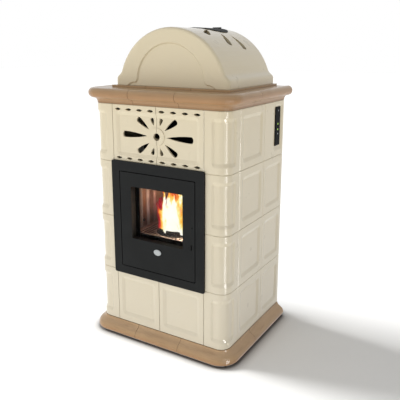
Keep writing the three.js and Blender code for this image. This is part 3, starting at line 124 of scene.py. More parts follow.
def ramp(tree, value, stops):
    node = addNode(tree, "ShaderNodeValToRGB", {"Fac": value})
    band = node.color_ramp
    while len(band.elements) < len(stops):
        band.elements.new(1)
    for element, (place, colour) in zip(band.elements, stops):
        element.position = place
        element.color = asColour(colour)
    return node.outputs["Color"]


def mixColour(tree, share, first, second):
    node = addNode(tree, "ShaderNodeMix", {0: share}, data_type="RGBA")
    for index, value in ((6, first), (7, second)):      # the colour sockets of a Mix node
        if isinstance(value, bpy.types.NodeSocket):
            tree.links.new(value, node.inputs[index])
        else:
            node.inputs[index].default_value = asColour(value)
    return node.outputs[2]


def stretchRange(tree, value, low, high, start=0, end=1):
    return addNode(tree, "ShaderNodeMapRange", {
        "Value": value, "From Min": start, "From Max": end,
        "To Min": low, "To Max": high}).outputs[0]


def spreadNoise(tree, value, low, high):
    return stretchRange(tree, value, low, high, *noiseSpan)


# Painted shade: the colour turns towards dark where ambient occlusion finds other surfaces within
# reach, in seams, recesses, gaps and corners.
def paintCreviceShade(tree, tone, dark, reach, depth, span, samples=8):
    near = addNode(tree, "ShaderNodeAmbientOcclusion", {"Distance": reach}, samples=samples)
    share = stretchRange(tree, near.outputs["AO"], depth, 0, *span)
    return mixColour(tree, share, tone, dark)


def bump(tree, surface, layers):
    normal = None
    for height, strength, distance in layers:
        inputs = {"Height": height, "Strength": strength, "Distance": distance}
        if normal:
            inputs["Normal"] = normal
        normal = addNode(tree, "ShaderNodeBump", inputs).outputs[0]
    tree.links.new(normal, surface.inputs["Normal"])


def dress(tree, surface, tone, rough, layers):
    tree.links.new(tone, surface.inputs["Base Color"])
    tree.links.new(rough, surface.inputs["Roughness"])
    bump(tree, surface, layers)


# Finishes. A noise is (scale, detail, roughness), a fade is (from share, to share, where it
# starts, where it ends), and a bump is (strength, distance).

creamSettings = {
    "plain": "d9cfb8", "warm": "dacdae", "pale": "dcd3bf", "speck": "b79f7c",
    "surface": {"Coat Weight": 0.7, "Coat Roughness": 0.09, "Coat IOR": 1.5,
                "Specular IOR Level": 0.15},
    # painted shade: the cream darkens in the tile seams and at the edges of the sunk panels
    "creviceShade": {"dark": "8a7a5c", "reach": 0.004, "depth": 0.8, "span": (0.15, 0.7)},
    "clouds": (3.1, 2, 0.45), "blotches": (17, 3, 0.5), "grain": (420, 2, 0.5),
    "specks": (260, 1, 0.4), "waves": (9, 1, 0.3),
    "paleFade": (0, 0.5, 0.35, 0.65), "speckFade": (0, 0.2, 0.8, 0.86),
    "topShadeFade": (0, 0.85, 0.35, 1.05),      # painted shade: darker and warmer with height in metres
    "warmBlotches": (0, 0.12), "rough": (0.27, 0.32),
    "waveBump": (0.25, 0.00015), "grainBump": (0.05, 0.00006),
}


def makeCreamGlaze(settings):
    material, tree, surface, place = startMaterial("creamGlaze", settings["surface"])
    clouds, blotches, grain, specks, waves = (
        noise(tree, place, *settings[name])
        for name in ("clouds", "blotches", "grain", "specks", "waves"))
    tone = mixColour(tree, stretchRange(tree, clouds, *settings["paleFade"]),
                     settings["plain"], settings["pale"])
    # Warmth comes from height, as painted shade, and from random blotches, as the glaze's own tone.
    warmthAndTopShade = calc(tree, "ADD", stretchRange(tree, axisOf(tree, place, "Z"), *settings["topShadeFade"]),
                  spreadNoise(tree, blotches, *settings["warmBlotches"]))
    tone = mixColour(tree, warmthAndTopShade, tone, settings["warm"])
    tone = mixColour(tree, stretchRange(tree, specks, *settings["speckFade"]),
                     tone, settings["speck"])
    # painted shade in seams and recess edges
    tone = paintCreviceShade(tree, tone, **settings["creviceShade"])
    dress(tree, surface, tone, spreadNoise(tree, blotches, *settings["rough"]),
          [(waves, *settings["waveBump"]), (grain, *settings["grainBump"])])
    return material


brownSettings = {
    "deep": "866747", "plain": "a3815d", "warm": "a57e57", "pale": "b99a75", "speck": "6f5037",
    "foot": "b7966f", "footLitSlope": "c3a481", "footLow": "b1875f",
    "surface": {"Coat Weight": 0.4, "Coat Roughness": 0.08, "Coat IOR": 1.5,
                "Specular IOR Level": 0.15},
    # painted shade: the brown darkens in seams and where mouldings meet other parts
    "creviceShade": {"dark": "3a2717", "reach": 0.004, "depth": 0.85, "span": (0.15, 0.7)},
    "streaks": (26, 4, 0.65), "streakStretch": (0.35, 0.35, 4), "clouds": (7, 3, 0.6),
    "fine": (330, 3, 0.6), "waves": (14, 1, 0.3),
    "shake": (-0.006, 0.006),               # how far the bands wander up and down
    "plinthHeights": (0.004, 0.058), "corniceHeights": (0.936, 1.002),
    "betweenThem": (0, 1, 0.4, 0.5),
    # Plinth bands: deep at the floor is painted shade, the pale band on the sloping top is painted
    # light, and the return to foot at the top is painted shade in the cove under the tiles.
    "plinthBands": ((0.0, "deep"), (0.16, "footLow"), (0.4, "foot"), (0.7, "footLitSlope"),
                    (1.0, "foot")),
    # Cornice bands: deep at the foot is painted shade under the cove, and pale on the top face is
    # painted light.
    "corniceBands": ((0.0, "deep"), (0.12, "plain"), (0.45, "warm"), (0.62, "plain"),
                     (0.85, "pale")),
    "fades": (("clouds", (0, 0.3, 0.4, 0.7), "plain"), ("streaks", (0, 0.4, 0.5, 0.75), "deep"),
              ("fine", (0, 0.6, 0.68, 0.8), "speck")),
    "rough": (0.26, 0.4), "waveBump": (0.3, 0.0005), "fineBump": (0.1, 0.0001),
}


def makeBrownGlaze(settings):
    material, tree, surface, place = startMaterial("brownGlaze", settings["surface"])
    height = axisOf(tree, place, "Z")
    patterns = {name: noise(tree, place, *settings[name]) for name in ("clouds", "fine", "waves")}
    patterns["streaks"] = noise(tree, place, *settings["streaks"], settings["streakStretch"])
    shaken = calc(tree, "ADD", height, stretchRange(tree, patterns["streaks"], *settings["shake"]))

    # The bands paint light and shade by height on each moulding.
    def bands(part):
        share = stretchRange(tree, shaken, 0, 1, *settings[part + "Heights"])
        return ramp(tree, share, [(at, settings[tone]) for at, tone in settings[part + "Bands"]])

    tone = mixColour(tree, stretchRange(tree, height, *settings["betweenThem"]),
                     bands("plinth"), bands("cornice"))
    for pattern, fade, other in settings["fades"]:
        tone = mixColour(tree, stretchRange(tree, patterns[pattern], *fade), tone, settings[other])
    # painted shade in seams and joints
    tone = paintCreviceShade(tree, tone, **settings["creviceShade"])
    dress(tree, surface, tone, spreadNoise(tree, patterns["clouds"], *settings["rough"]),
          [(patterns["waves"], *settings["waveBump"]), (patterns["fine"], *settings["fineBump"])])
    return material


paintSettings = {
    "clouds": (8, 3, 0.6), "texture": (3, 0.6), "roughSpread": (-0.06, 0.1),
    # painted shade: the paint goes full black in the door gaps and down the window well
    "creviceShade": {"dark": "000000", "reach": 0.03, "depth": 1.0, "span": (0.35, 0.95)},
    "textureBump": (0.35, 0.00012), "cloudBump": (0.2, 0.0003),
}


def makePaint(name, colour, rough, grain, fleck=1.25, shine=0.25):
    settings = paintSettings
    material, tree, surface, place = startMaterial(name, {"Specular IOR Level": shine})
    clouds = noise(tree, place, *settings["clouds"])
    texture = noise(tree, place, grain, *settings["texture"])
    base = hexColour(colour)
    light = [min(c * fleck, 1) for c in base[:3]]
    tone = mixColour(tree, spreadNoise(tree, clouds, 0, 1), base, light)
    # painted shade in gaps and wells
    tone = paintCreviceShade(tree, tone, **settings["creviceShade"])
    low, high = settings["roughSpread"]
    dress(tree, surface, tone, spreadNoise(tree, texture, rough + low, rough + high),
          [(texture, *settings["textureBump"]), (clouds, *settings["cloudBump"])])
    return material


metalSettings = {
    "clouds": (11, 4, 0.6), "brush": (3, 0.6), "cloudFade": (0, 1, 0.32, 0.68),
    "markSpan": (0.35, 0.7), "roughSpread": (-0.08, 0.12),
    "brushBump": (0.3, 0.00015), "cloudBump": (0.25, 0.0004),
}


def brushedTone(tree, place, dark, light, grain, stretch, marks):
    settings = metalSettings
    clouds = noise(tree, place, *settings["clouds"])
    brushed = noise(tree, place, grain, *settings["brush"], stretch)
    tone = mixColour(tree, stretchRange(tree, clouds, *settings["cloudFade"]), dark, light)
    tone = mixColour(tree, stretchRange(tree, brushed, 0, marks, *settings["markSpan"]), tone, dark)
    layers = [(brushed, *settings["brushBump"]), (clouds, *settings["cloudBump"])]
    return tone, brushed, layers


def makeMetal(name, dark, light, rough, grain, stretch=(1, 1, 1), marks=0.4):
    material, tree, surface, place = startMaterial(name, {"Metallic": 1.0})
    tone, brushed, layers = brushedTone(tree, place, dark, light, grain, stretch, marks)
    low, high = metalSettings["roughSpread"]
    dress(tree, surface, tone, spreadNoise(tree, brushed, rough + low, rough + high), layers)
    return material


linerSettings = {
    "dark": "93837a", "light": "d3c2b6", "grain": 60, "stretch": (9, 9, 1), "marks": 0.4,
    # painted shade: the liner is tinted darker and duller along its front edge
    "frontShade": "6b584c", "frontShadeEdge": (-0.146, -0.138),      # metres along Y
    "metallic": (0.25, 1), "rough": (0.28, 0.48), "frontEdgeRough": 0.3,
}


def makeLinerSteel(settings):
    material, tree, surface, place = startMaterial("linerSteel", {"Metallic": 1.0})
    tone, brushed, layers = brushedTone(
        tree, place, settings["dark"], settings["light"], settings["grain"],
        settings["stretch"], settings["marks"])
    # painted shade on the front edge of the liner
    behindFrontEdge = stretchRange(tree, axisOf(tree, place, "Y"), 0, 1, *settings["frontShadeEdge"])
    tone = mixColour(tree, behindFrontEdge, settings["frontShade"], tone)
    tree.links.new(stretchRange(tree, behindFrontEdge, *settings["metallic"]), surface.inputs["Metallic"])
    dull = calc(tree, "ADD", spreadNoise(tree, brushed, *settings["rough"]),
                stretchRange(tree, behindFrontEdge, settings["frontEdgeRough"], 0))
    dress(tree, surface, tone, dull, layers)
    return material


zincSettings = {
    "dark": "969b9e", "light": "b0b5b7", "haze": "84888a", "flakes": 110, "clouds": (5, 3, 0.6),
    "hazeFade": (0, 0.5, 0.45, 0.75), "rough": (0.32, 0.5),
    "flakeBump": (0.08, 0.0002), "cloudBump": (0.2, 0.0006),
}


def makeZinc(settings):
    material, tree, surface, place = startMaterial("zincSheet", {"Metallic": 1.0})
    cells = addNode(tree, "ShaderNodeTexVoronoi", {
        "Vector": place, "Scale": settings["flakes"], "Randomness": 1}).outputs["Color"]
    spangle = addNode(tree, "ShaderNodeSeparateColor", {"Color": cells}).outputs[0]
    clouds = noise(tree, place, *settings["clouds"])
    tone = mixColour(tree, spangle, settings["dark"], settings["light"])
    tone = mixColour(tree, stretchRange(tree, clouds, *settings["hazeFade"]),
                     tone, settings["haze"])
    dress(tree, surface, tone, stretchRange(tree, spangle, *settings["rough"]),
          [(spangle, *settings["flakeBump"]), (clouds, *settings["cloudBump"])])
    return material


sootSettings = {
    "metallic": 0.35, "clouds": (13, 5, 0.65), "sand": (700, 3, 0.6), "ash": (45, 5, 0.7),
    # edge is the near-black of the painted shade on the hearth's slot walls and underside
    "ashSpan": (0.52, 0.72), "edge": "0b0a09", "edgeBlend": 0.001,
    "rough": (0.5, 0.78), "sandBump": (0.5, 0.0003), "cloudBump": (0.3, 0.0006),
}


def makeSootIron(name, dark, light, ashTone, ashShare=0.25, shadedBelow=None):
    settings = sootSettings
    material, tree, surface, place = startMaterial(name, {"Metallic": settings["metallic"]})
    clouds, sand, ash = (
        noise(tree, place, *settings[pattern]) for pattern in ("clouds", "sand", "ash"))
    tone = mixColour(tree, spreadNoise(tree, clouds, 0, 1), dark, light)
    tone = mixColour(tree, stretchRange(tree, ash, 0, ashShare, *settings["ashSpan"]),
                     tone, ashTone)
    if shadedBelow:      # painted shade: the cut edges of the slots and the underside are painted near black
        shadeShare = stretchRange(tree, axisOf(tree, place, "Z"), 1, 0,
                             shadedBelow - settings["edgeBlend"], shadedBelow)
        tone = mixColour(tree, shadeShare, tone, settings["edge"])
    dress(tree, surface, tone, spreadNoise(tree, sand, *settings["rough"]),
          [(sand, *settings["sandBump"]), (clouds, *settings["cloudBump"])])
    return material


glassSettings = {
    "surface": {"Base Color": (0.02, 0.02, 0.02, 1), "IOR": 1.45}, "film": (9, 4, 0.6),
    "cover": (0.05, 0.16, 0.35, 0.7), "rough": (0.03, 0.09), "filmBump": (0.05, 0.0002),
}


def makeGlass(settings):
    material, tree, surface, place = startMaterial("fireGlass", settings["surface"])
    film = noise(tree, place, *settings["film"])
    tree.links.new(stretchRange(tree, film, *settings["cover"]), surface.inputs["Alpha"])
    tree.links.new(spreadNoise(tree, film, *settings["rough"]), surface.inputs["Roughness"])
    bump(tree, surface, [(film, *settings["filmBump"])])
    return material


glowSettings = {"spots": (2, 0.5), "dim": 0.6, "rough": (0.2, 0.4), "spotBump": (0.1, 0.0001)}


def makeGlow(name, colour, strength, grain):
    settings = glowSettings
    material, tree, surface, place = startMaterial(name, {"Emission Strength": strength})
    spots = noise(tree, place, grain, *settings["spots"])
    base = hexColour(colour)
    dim = [c * settings["dim"] for c in base[:3]]
    tone = mixColour(tree, spreadNoise(tree, spots, 0, 1), dim, base)
    tree.links.new(tone, surface.inputs["Emission Color"])
    dress(tree, surface, tone, stretchRange(tree, spots, *settings["rough"]),
          [(spots, *settings["spotBump"])])
    return material


finishes = {
    "cream": makeCreamGlaze(creamSettings),
    "brown": makeBrownGlaze(brownSettings),
    "black": makePaint("blackPaint", "202121", rough=0.6, grain=900, shine=0.10),
    "gloss": makePaint("glossBlack", "070707", rough=0.4, grain=300, shine=0.03),
    "plastic": makePaint("blackPlastic", "141415", rough=0.34, grain=1200),
    "grey": makePaint("greyPlastic", "85888b", rough=0.42, grain=1100),
    "motor": makePaint("motorPaint", "2f3133", rough=0.4, grain=800),
    "inner": makePaint("innerPaint", "1b1b1c", rough=0.6, grain=700, shine=0.15),
    "rope": makePaint("sealRope", "55524c", rough=0.9, grain=1500, fleck=1.5, shine=0.05),
    "liner": makeLinerSteel(linerSettings),
    "steel": makeMetal("plainSteel", "77736e", "a8a49d", rough=0.34, grain=90, stretch=(1, 8, 8)),
    "cast": makeMetal("castAluminium", "85878a", "a6a8aa", rough=0.5, grain=600, marks=0.5),
    "badge": makeMetal("badgeMetal", "9ca0a0", "c6caca", rough=0.3, grain=500, marks=0.3),
    "zinc": makeZinc(zincSettings),
    "iron": makeSootIron("fireIron", "1d1b1a", "34302d", "6b6158"),
    "pot": makeSootIron("potIron", "262220", "3d3733", "5f544b"),
    "hearth": makeSootIron("hearthIron", "7d7067", "ab9d93", "c3b8ae", ashShare=0.3,
                           shadedBelow=0.4298),      # just under the plate's top, in metres
    "glass": makeGlass(glassSettings),
}
print("finishes made:", len(finishes))

finishOf = {
    "fire_door": "black", "door_frame": "black", "hopper_lid": "black", "door_latch": "black",
    "door_badge": "badge", "door_glass": "glass", "firebox": "iron", "fire_liner": "liner",
    "hearth_plate": "hearth", "burn_pot": "pot", "ash_drawer": "steel", "auger_tube": "steel",
    "auger_screw": "steel", "auger_gearmotor": "motor", "pellet_hopper": "inner",
    "filler_collar": "motor", "smoke_fan_housing": "cast", "smoke_impeller": "steel",
    "room_fan_housing": "zinc", "room_fan_rotor": "cast", "chassis": "inner",
    "back_panel": "zinc", "power_inlet": "plastic", "power_switch": "plastic",
    "control_panel": "gloss", "key_upper": "grey", "key_lower": "grey", "top_vault": "cream",
}
for name, node in nodes.items():
    if name.startswith(("plinth", "cornice")):
        finish = "brown"
    elif "tile" in name:
        finish = "cream"
    else:
        finish = finishOf[name]
    node.data.materials.clear()
    node.data.materials.append(finishes[finish])
print("finishes put on the nodes")


# Geometry Nodes

def startTree(name, numbers, extras=()):
    tree = bpy.data.node_groups.new(name, "GeometryNodeTree")
    sockets = tree.interface
    sockets.new_socket("Geometry", in_out="INPUT", socket_type="NodeSocketGeometry")
    for label, value in numbers.items():
        kind = "NodeSocketInt" if isinstance(value, int) else "NodeSocketFloat"
        sockets.new_socket(label, in_out="INPUT", socket_type=kind).default_value = value
    for label, kind in extras:
        sockets.new_socket(label, in_out="INPUT", socket_type=kind)
    sockets.new_socket("Geometry", in_out="OUTPUT", socket_type="NodeSocketGeometry")
    given = tree.nodes.new("NodeGroupInput").outputs
    return tree, given, tree.nodes.new("NodeGroupOutput")


def endTree(tree, end, geometry, material):
    whole = addNode(tree, "GeometryNodeRealizeInstances", {"Geometry": geometry}).outputs[0]
    shaded = addNode(tree, "GeometryNodeSetShadeSmooth", {
        "Geometry": whole, "Shade Smooth": True}).outputs[0]
    dressed = addNode(tree, "GeometryNodeSetMaterial", {
        "Geometry": shaded, "Material": material}).outputs[0]
    tree.links.new(dressed, end.inputs[0])


def growPiece(name, tree, values):
    piece = bpy.data.objects.new(name, bpy.data.meshes.new(name))
    bpy.context.scene.collection.objects.link(piece)
    maker = piece.modifiers.new("maker", "NODES")
    maker.node_group = tree
    for item in tree.interface.items_tree:
        if item.in_out == "INPUT" and item.name in values:
            maker[item.identifier] = values[item.name]
    bpy.context.view_layer.update()
    seen = piece.evaluated_get(bpy.context.evaluated_depsgraph_get())
    grown = bpy.data.meshes.new_from_object(seen)
    piece.modifiers.remove(maker)
    piece.data = grown
    grown.name = name
    return piece


goldenTurn = 2.39996      # radians from one point of the spiral to the next
anyTurn = (0, 6.28)


def spiralPoints(tree, count, wide, deep):
    line = addNode(tree, "GeometryNodeMeshLine", {"Count": count, "Offset": (0, 0, 0)}).outputs[0]
    index = addNode(tree, "GeometryNodeInputIndex").outputs[0]
    share = calc(tree, "DIVIDE", calc(tree, "ADD", index, 0.5), count)
    reach = calc(tree, "SQRT", share)
    turn = calc(tree, "MULTIPLY", index, goldenTurn)
    x = calc(tree, "MULTIPLY", calc(tree, "MULTIPLY", reach, wide), calc(tree, "COSINE", turn))
    y = calc(tree, "MULTIPLY", calc(tree, "MULTIPLY", reach, deep), calc(tree, "SINE", turn))
    return line, reach, x, y


def setPoints(tree, line, x, y, centre, level):
    spot = addNode(tree, "ShaderNodeCombineXYZ", {
        0: calc(tree, "ADD", x, centre[0]), 1: calc(tree, "ADD", y, centre[1]), 2: level})
    return addNode(tree, "GeometryNodeSetPosition", {
        "Geometry": line, "Position": spot.outputs[0]}).outputs[0]


def chance(tree, low, high, seed, number):
    spread = addNode(tree, "FunctionNodeRandomValue", data_type="FLOAT")
    for socket in spread.inputs:
        if socket.enabled and socket.name == "Min":
            socket.default_value = low
        if socket.enabled and socket.name == "Max":
            socket.default_value = high
        if socket.name == "Seed":
            tree.links.new(calc(tree, "ADD", seed, number), socket)
    return next(o for o in spread.outputs if o.enabled)


def wander(tree, geometry, here, scale, amount):
    drift = addNode(tree, "ShaderNodeTexNoise", {
        "Vector": here, "Scale": scale, "Detail": 2}).outputs["Color"]
    drift = addNode(tree, "ShaderNodeVectorMath", {0: drift, 1: (0.5, 0.5, 0.5)},
                    operation="SUBTRACT").outputs[0]
    drift = addNode(tree, "ShaderNodeVectorMath", {0: drift, "Scale": amount},
                    operation="SCALE").outputs[0]
    return addNode(tree, "GeometryNodeSetPosition", {
        "Geometry": geometry, "Offset": drift}).outputs[0]


# Small helpers for meshes

weldDistance = 0.00001


def meshPiece(name, shape, finish, bevel=0.0, smooth=False):
    mesh = bpy.data.meshes.new(name)
    bmesh.ops.remove_doubles(shape, verts=shape.verts, dist=weldDistance)
    bmesh.ops.recalc_face_normals(shape, faces=shape.faces)
    shape.to_mesh(mesh)
    shape.free()
    for face in mesh.polygons:
        face.use_smooth = smooth
    mesh.materials.append(finish)
    piece = bpy.data.objects.new(name, mesh)
    bpy.context.scene.collection.objects.link(piece)
    if bevel:
        edge = piece.modifiers.new("edge", "BEVEL")
        edge.width = bevel
        edge.segments = 2
        edge.limit_method = "ANGLE"
    return piece


def addBox(shape, low, high):
    made = bmesh.ops.create_cube(shape, size=1)["verts"]
    size = Vector(high) - Vector(low)
    middle = (Vector(high) + Vector(low)) / 2
    for vert in made:
        vert.co = Vector(vert.co[i] * size[i] + middle[i] for i in range(3))


def addRod(shape, centre, radius, length, sides, top=None, axis="X"):
    place = Matrix.Translation(centre) @ Matrix.Rotation(math.radians(90), 4, axis)
    bmesh.ops.create_cone(
        shape, cap_ends=True, segments=sides, radius1=radius,
        radius2=radius if top is None else top, depth=length, matrix=place)


def ringPoints(sides):
    turns = [2 * math.pi * k / sides for k in range(sides)]
    return [(math.cos(turn), math.sin(turn)) for turn in turns]


def joinRings(shape, lower, upper):
    for k in range(len(lower)):
        after = (k + 1) % len(lower)
        shape.faces.new((lower[k], lower[after], upper[after], upper[k]))


# Fire in the burn pot: one tongue, copied on a spiral of points and blown about with height

fireSettings = {
    "tongues": 110, "seed": 11, "centre": (0.0, -0.122, 0.431), "core": 0.02, "fringe": 0.070,
    "halfWide": 0.062, "halfDeep": 0.042, "tall": 0.24, "wobble": 0.04, "strength": 1.3,
    "tallSpread": (0.7, 1.18), "outerLoss": 0.5, "rightGain": 2.4, "girthSpread": (0.42, 0.8),
    "splay": 3.2, "tilt": 0.08, "calmHeight": 0.012, "gustGain": 16, "gustScale": 15,
    "licks": (32, 3, 0.55), "lickStretch": (1, 1, 0.4), "lickRange": (-0.55, 0.4),
    "lickFoot": 0.35, "lickRise": 0.9, "hot": 1.14, "sidePower": 2.2, "sideLoss": 0.9,
    "topPower": 2, "topLoss": 0.75, "bump": (0.1, 0.001),
    "tones": ((0.0, (0.40, 0.015, 0.025)), (0.25, (0.62, 0.045, 0.04)),
              (0.42, (0.85, 0.16, 0.03)), (0.56, (0.98, 0.44, 0.05)),
              (0.70, (1.0, 0.80, 0.22)), (0.86, (1.0, 0.98, 0.84))),
    "veil": ((0.0, 0.34), (0.35, 0.62), (0.75, 0.96)),
}

tongueSettings = {
    "sides": 6, "rings": 9, "radius": 0.135, "belly": 0.62, "fullness": 0.9, "taper": 0.45,
    "least": 0.004, "flat": 0.8, "lean": (0.085, 5.2, 0.0), "sway": (0.05, 3.4, 0.8),
}


def makeFlameFinish(settings):
    material, tree, surface, place = startMaterial("flame", {
        "Base Color": (0, 0, 0, 1), "Specular IOR Level": 0.0, "Roughness": 1.0,
        "Emission Strength": settings["strength"]})
    x, y, z = settings["centre"]
    moved = addNode(tree, "ShaderNodeMapping", {
        "Vector": place, "Location": (-x - settings["core"], -y, -z)}).outputs[0]
    axes = addNode(tree, "ShaderNodeSeparateXYZ", {"Vector": moved}).outputs
    aside = calc(tree, "DIVIDE", calc(tree, "ABSOLUTE", axes[0]), settings["fringe"])
    rise = calc(tree, "MAXIMUM", calc(tree, "DIVIDE", axes[2], settings["tall"]), 0)
    licks = noise(tree, place, *settings["licks"], settings["lickStretch"])
    grow = calc(tree, "ADD", calc(tree, "MULTIPLY", rise, settings["lickRise"]),
                settings["lickFoot"])
    flicker = calc(tree, "MULTIPLY", spreadNoise(tree, licks, *settings["lickRange"]), grow)
    sideLoss = calc(tree, "MULTIPLY", calc(tree, "POWER", aside, settings["sidePower"]),
                    settings["sideLoss"])
    topLoss = calc(tree, "MULTIPLY", calc(tree, "POWER", rise, settings["topPower"]),
                   settings["topLoss"])
    heat = calc(tree, "SUBTRACT", calc(tree, "SUBTRACT", settings["hot"], sideLoss), topLoss)
    heat = calc(tree, "ADD", heat, flicker)
    veil = ramp(tree, heat, [(at, (level, level, level)) for at, level in settings["veil"]])
    tree.links.new(ramp(tree, heat, settings["tones"]), surface.inputs["Emission Color"])
    tree.links.new(veil, surface.inputs["Alpha"])
    bump(tree, surface, [(licks, *settings["bump"])])
    return material


def makeTongue(settings):
    def bend(key, share):
        size, turn, start = settings[key]
        return size * math.sin(turn * share + start) * share

    shape = bmesh.new()
    rings = []
    for row in range(1, settings["rings"]):
        share = row / settings["rings"]
        swell = math.sin(math.pi * share ** settings["belly"]) ** settings["fullness"]
        radius = settings["radius"] * swell * (1 - settings["taper"] * share) + settings["least"]
        rings.append([shape.verts.new((
            bend("lean", share) + radius * across,
            bend("sway", share) + settings["flat"] * radius * along, share))
            for across, along in ringPoints(settings["sides"])])
    foot = shape.verts.new((0, 0, 0))
    tip = shape.verts.new((bend("lean", 1), bend("sway", 1), 1))
    for k in range(settings["sides"]):
        after = (k + 1) % settings["sides"]
        shape.faces.new((foot, rings[0][after], rings[0][k]))
        shape.faces.new((tip, rings[-1][k], rings[-1][after]))
    for lower, upper in zip(rings, rings[1:]):
        joinRings(shape, lower, upper)
    mesh = bpy.data.meshes.new("flameTongue")
    shape.to_mesh(mesh)
    shape.free()
    tongue = bpy.data.objects.new("flameTongue", mesh)
    bpy.context.scene.collection.objects.link(tongue)
    return tongue


def makeFire(settings):
    tongue = makeTongue(tongueSettings)
    tree, given, end = startTree("flameTree", {
        "Tongues": settings["tongues"], "Half wide": settings["halfWide"],
        "Half deep": settings["halfDeep"], "Tall": settings["tall"],
        "Wobble": settings["wobble"], "Seed": settings["seed"]},
        [("Tongue", "NodeSocketObject")])
    line, reach, x, y = spiralPoints(
        tree, given["Tongues"], given["Half wide"], given["Half deep"])
    level = settings["centre"][2]
    points = setPoints(tree, line, x, y, settings["centre"], level)
    form = addNode(tree, "GeometryNodeObjectInfo", {"Object": given["Tongue"]})
    tallness = calc(tree, "SUBTRACT", chance(tree, *settings["tallSpread"], given["Seed"], 1),
                    calc(tree, "MULTIPLY", reach, settings["outerLoss"]))
    tallness = calc(tree, "MULTIPLY", given["Tall"], tallness)
    rightwards = calc(tree, "ADD", calc(tree, "MULTIPLY", x, settings["rightGain"]), 1)
    tallness = calc(tree, "MULTIPLY", tallness, rightwards)
    girth = calc(tree, "MULTIPLY", given["Tall"],
                 chance(tree, *settings["girthSpread"], given["Seed"], 2))
    size = addNode(tree, "ShaderNodeCombineXYZ", {0: girth, 1: girth, 2: tallness}).outputs[0]
    tilt = calc(tree, "ADD", calc(tree, "MULTIPLY", x, settings["splay"]), settings["tilt"])
    turn = addNode(tree, "ShaderNodeCombineXYZ", {
        0: calc(tree, "MULTIPLY", y, -settings["splay"]), 1: tilt,
        2: chance(tree, *anyTurn, given["Seed"], 3)}).outputs[0]
    copies = addNode(tree, "GeometryNodeInstanceOnPoints", {
        "Points": points, "Instance": form.outputs["Geometry"],
        "Rotation": turn, "Scale": size}).outputs[0]
    whole = addNode(tree, "GeometryNodeRealizeInstances", {"Geometry": copies}).outputs[0]
    here = addNode(tree, "GeometryNodeInputPosition").outputs[0]
    calm = level + settings["calmHeight"]
    rise = calc(tree, "MAXIMUM", calc(tree, "SUBTRACT", axisOf(tree, here, "Z"), calm), 0)
    push = calc(tree, "MULTIPLY", calc(tree, "MULTIPLY", rise, given["Wobble"]),
                settings["gustGain"])
    blown = wander(tree, whole, here, settings["gustScale"], push)
    endTree(tree, end, blown, makeFlameFinish(settings))
    fire = growPiece("fire_flame", tree, {"Tongue": tongue})
    bpy.data.objects.remove(tongue)
    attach(fire, "casing")
    print("flame grown:", len(fire.data.polygons), "faces")


makeFire(fireSettings)


# Glowing pellets in the burn pot

emberSettings = {
    "pellets": 170, "seed": 4, "centre": (0.0, -0.122, 0.417), "halfWide": 0.056,
    "halfDeep": 0.041, "heap": 0.014, "radius": 0.003, "long": 0.017, "sides": 8, "segments": 3,
    "loose": (-0.006, 0.004), "lying": (1.15, 1.95), "rolled": (-0.4, 0.4), "sizes": (0.75, 1.1),
    "dentScale": 300, "dentDeep": 0.0016,
    "surface": {"Roughness": 0.9, "Emission Strength": 2.2}, "cracks": (130, 4, 0.7),
    "coal": "2a211c", "ash": "6b5a4c", "crackBump": (0.6, 0.0006),
    "glow": ((0.42, (0.0, 0.0, 0.0)), (0.55, (0.9, 0.12, 0.01)), (0.7, (1.0, 0.55, 0.1))),
}


def makeEmberFinish(settings):
    material, tree, surface, place = startMaterial("glowingPellets", settings["surface"])
    cracks = noise(tree, place, *settings["cracks"])
    coal = mixColour(tree, cracks, settings["coal"], settings["ash"])
    tree.links.new(coal, surface.inputs["Base Color"])
    tree.links.new(ramp(tree, cracks, settings["glow"]), surface.inputs["Emission Color"])
    bump(tree, surface, [(cracks, *settings["crackBump"])])
    return material


def makeEmbers(settings):
    tree, given, end = startTree("emberTree", {
        "Pellets": settings["pellets"], "Half wide": settings["halfWide"],
        "Half deep": settings["halfDeep"], "Heap": settings["heap"],
        "Radius": settings["radius"], "Long": settings["long"],
        "Sides": settings["sides"], "Seed": settings["seed"]})
    seed = given["Seed"]
    line, reach, x, y = spiralPoints(
        tree, given["Pellets"], given["Half wide"], given["Half deep"])
    crown = calc(tree, "MULTIPLY", given["Heap"],
                 calc(tree, "SUBTRACT", 1, calc(tree, "MULTIPLY", reach, reach)))
    level = calc(tree, "ADD", calc(tree, "ADD", crown, settings["centre"][2]),
                 chance(tree, *settings["loose"], seed, 1))
    points = setPoints(tree, line, x, y, settings["centre"], level)
    pellet = addNode(tree, "GeometryNodeMeshCylinder", {
        "Vertices": given["Sides"], "Side Segments": settings["segments"],
        "Radius": given["Radius"], "Depth": given["Long"]}).outputs[0]
    here = addNode(tree, "GeometryNodeInputPosition").outputs[0]
    pellet = wander(tree, pellet, here, settings["dentScale"], settings["dentDeep"])
    turn = addNode(tree, "ShaderNodeCombineXYZ", {
        0: chance(tree, *settings["lying"], seed, 2),
        1: chance(tree, *settings["rolled"], seed, 3),
        2: chance(tree, *anyTurn, seed, 4)}).outputs[0]
    copies = addNode(tree, "GeometryNodeInstanceOnPoints", {
        "Points": points, "Instance": pellet, "Rotation": turn,
        "Scale": chance(tree, *settings["sizes"], seed, 5)}).outputs[0]
    endTree(tree, end, copies, makeEmberFinish(settings))
    embers = growPiece("burning_pellets", tree, {})
    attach(embers, "casing")
    print("pellets laid:", settings["pellets"])


makeEmbers(emberSettings)


# Sparks beside the flame

sparkSettings = {
    "count": 9, "low": (-0.10, -0.075, 0.55), "high": (-0.03, -0.062, 0.63), "seed": 5,
    "radius": 0.0011, "sizes": (0.6, 1.3), "glow": ("ffb060", 1.6, 200),
}


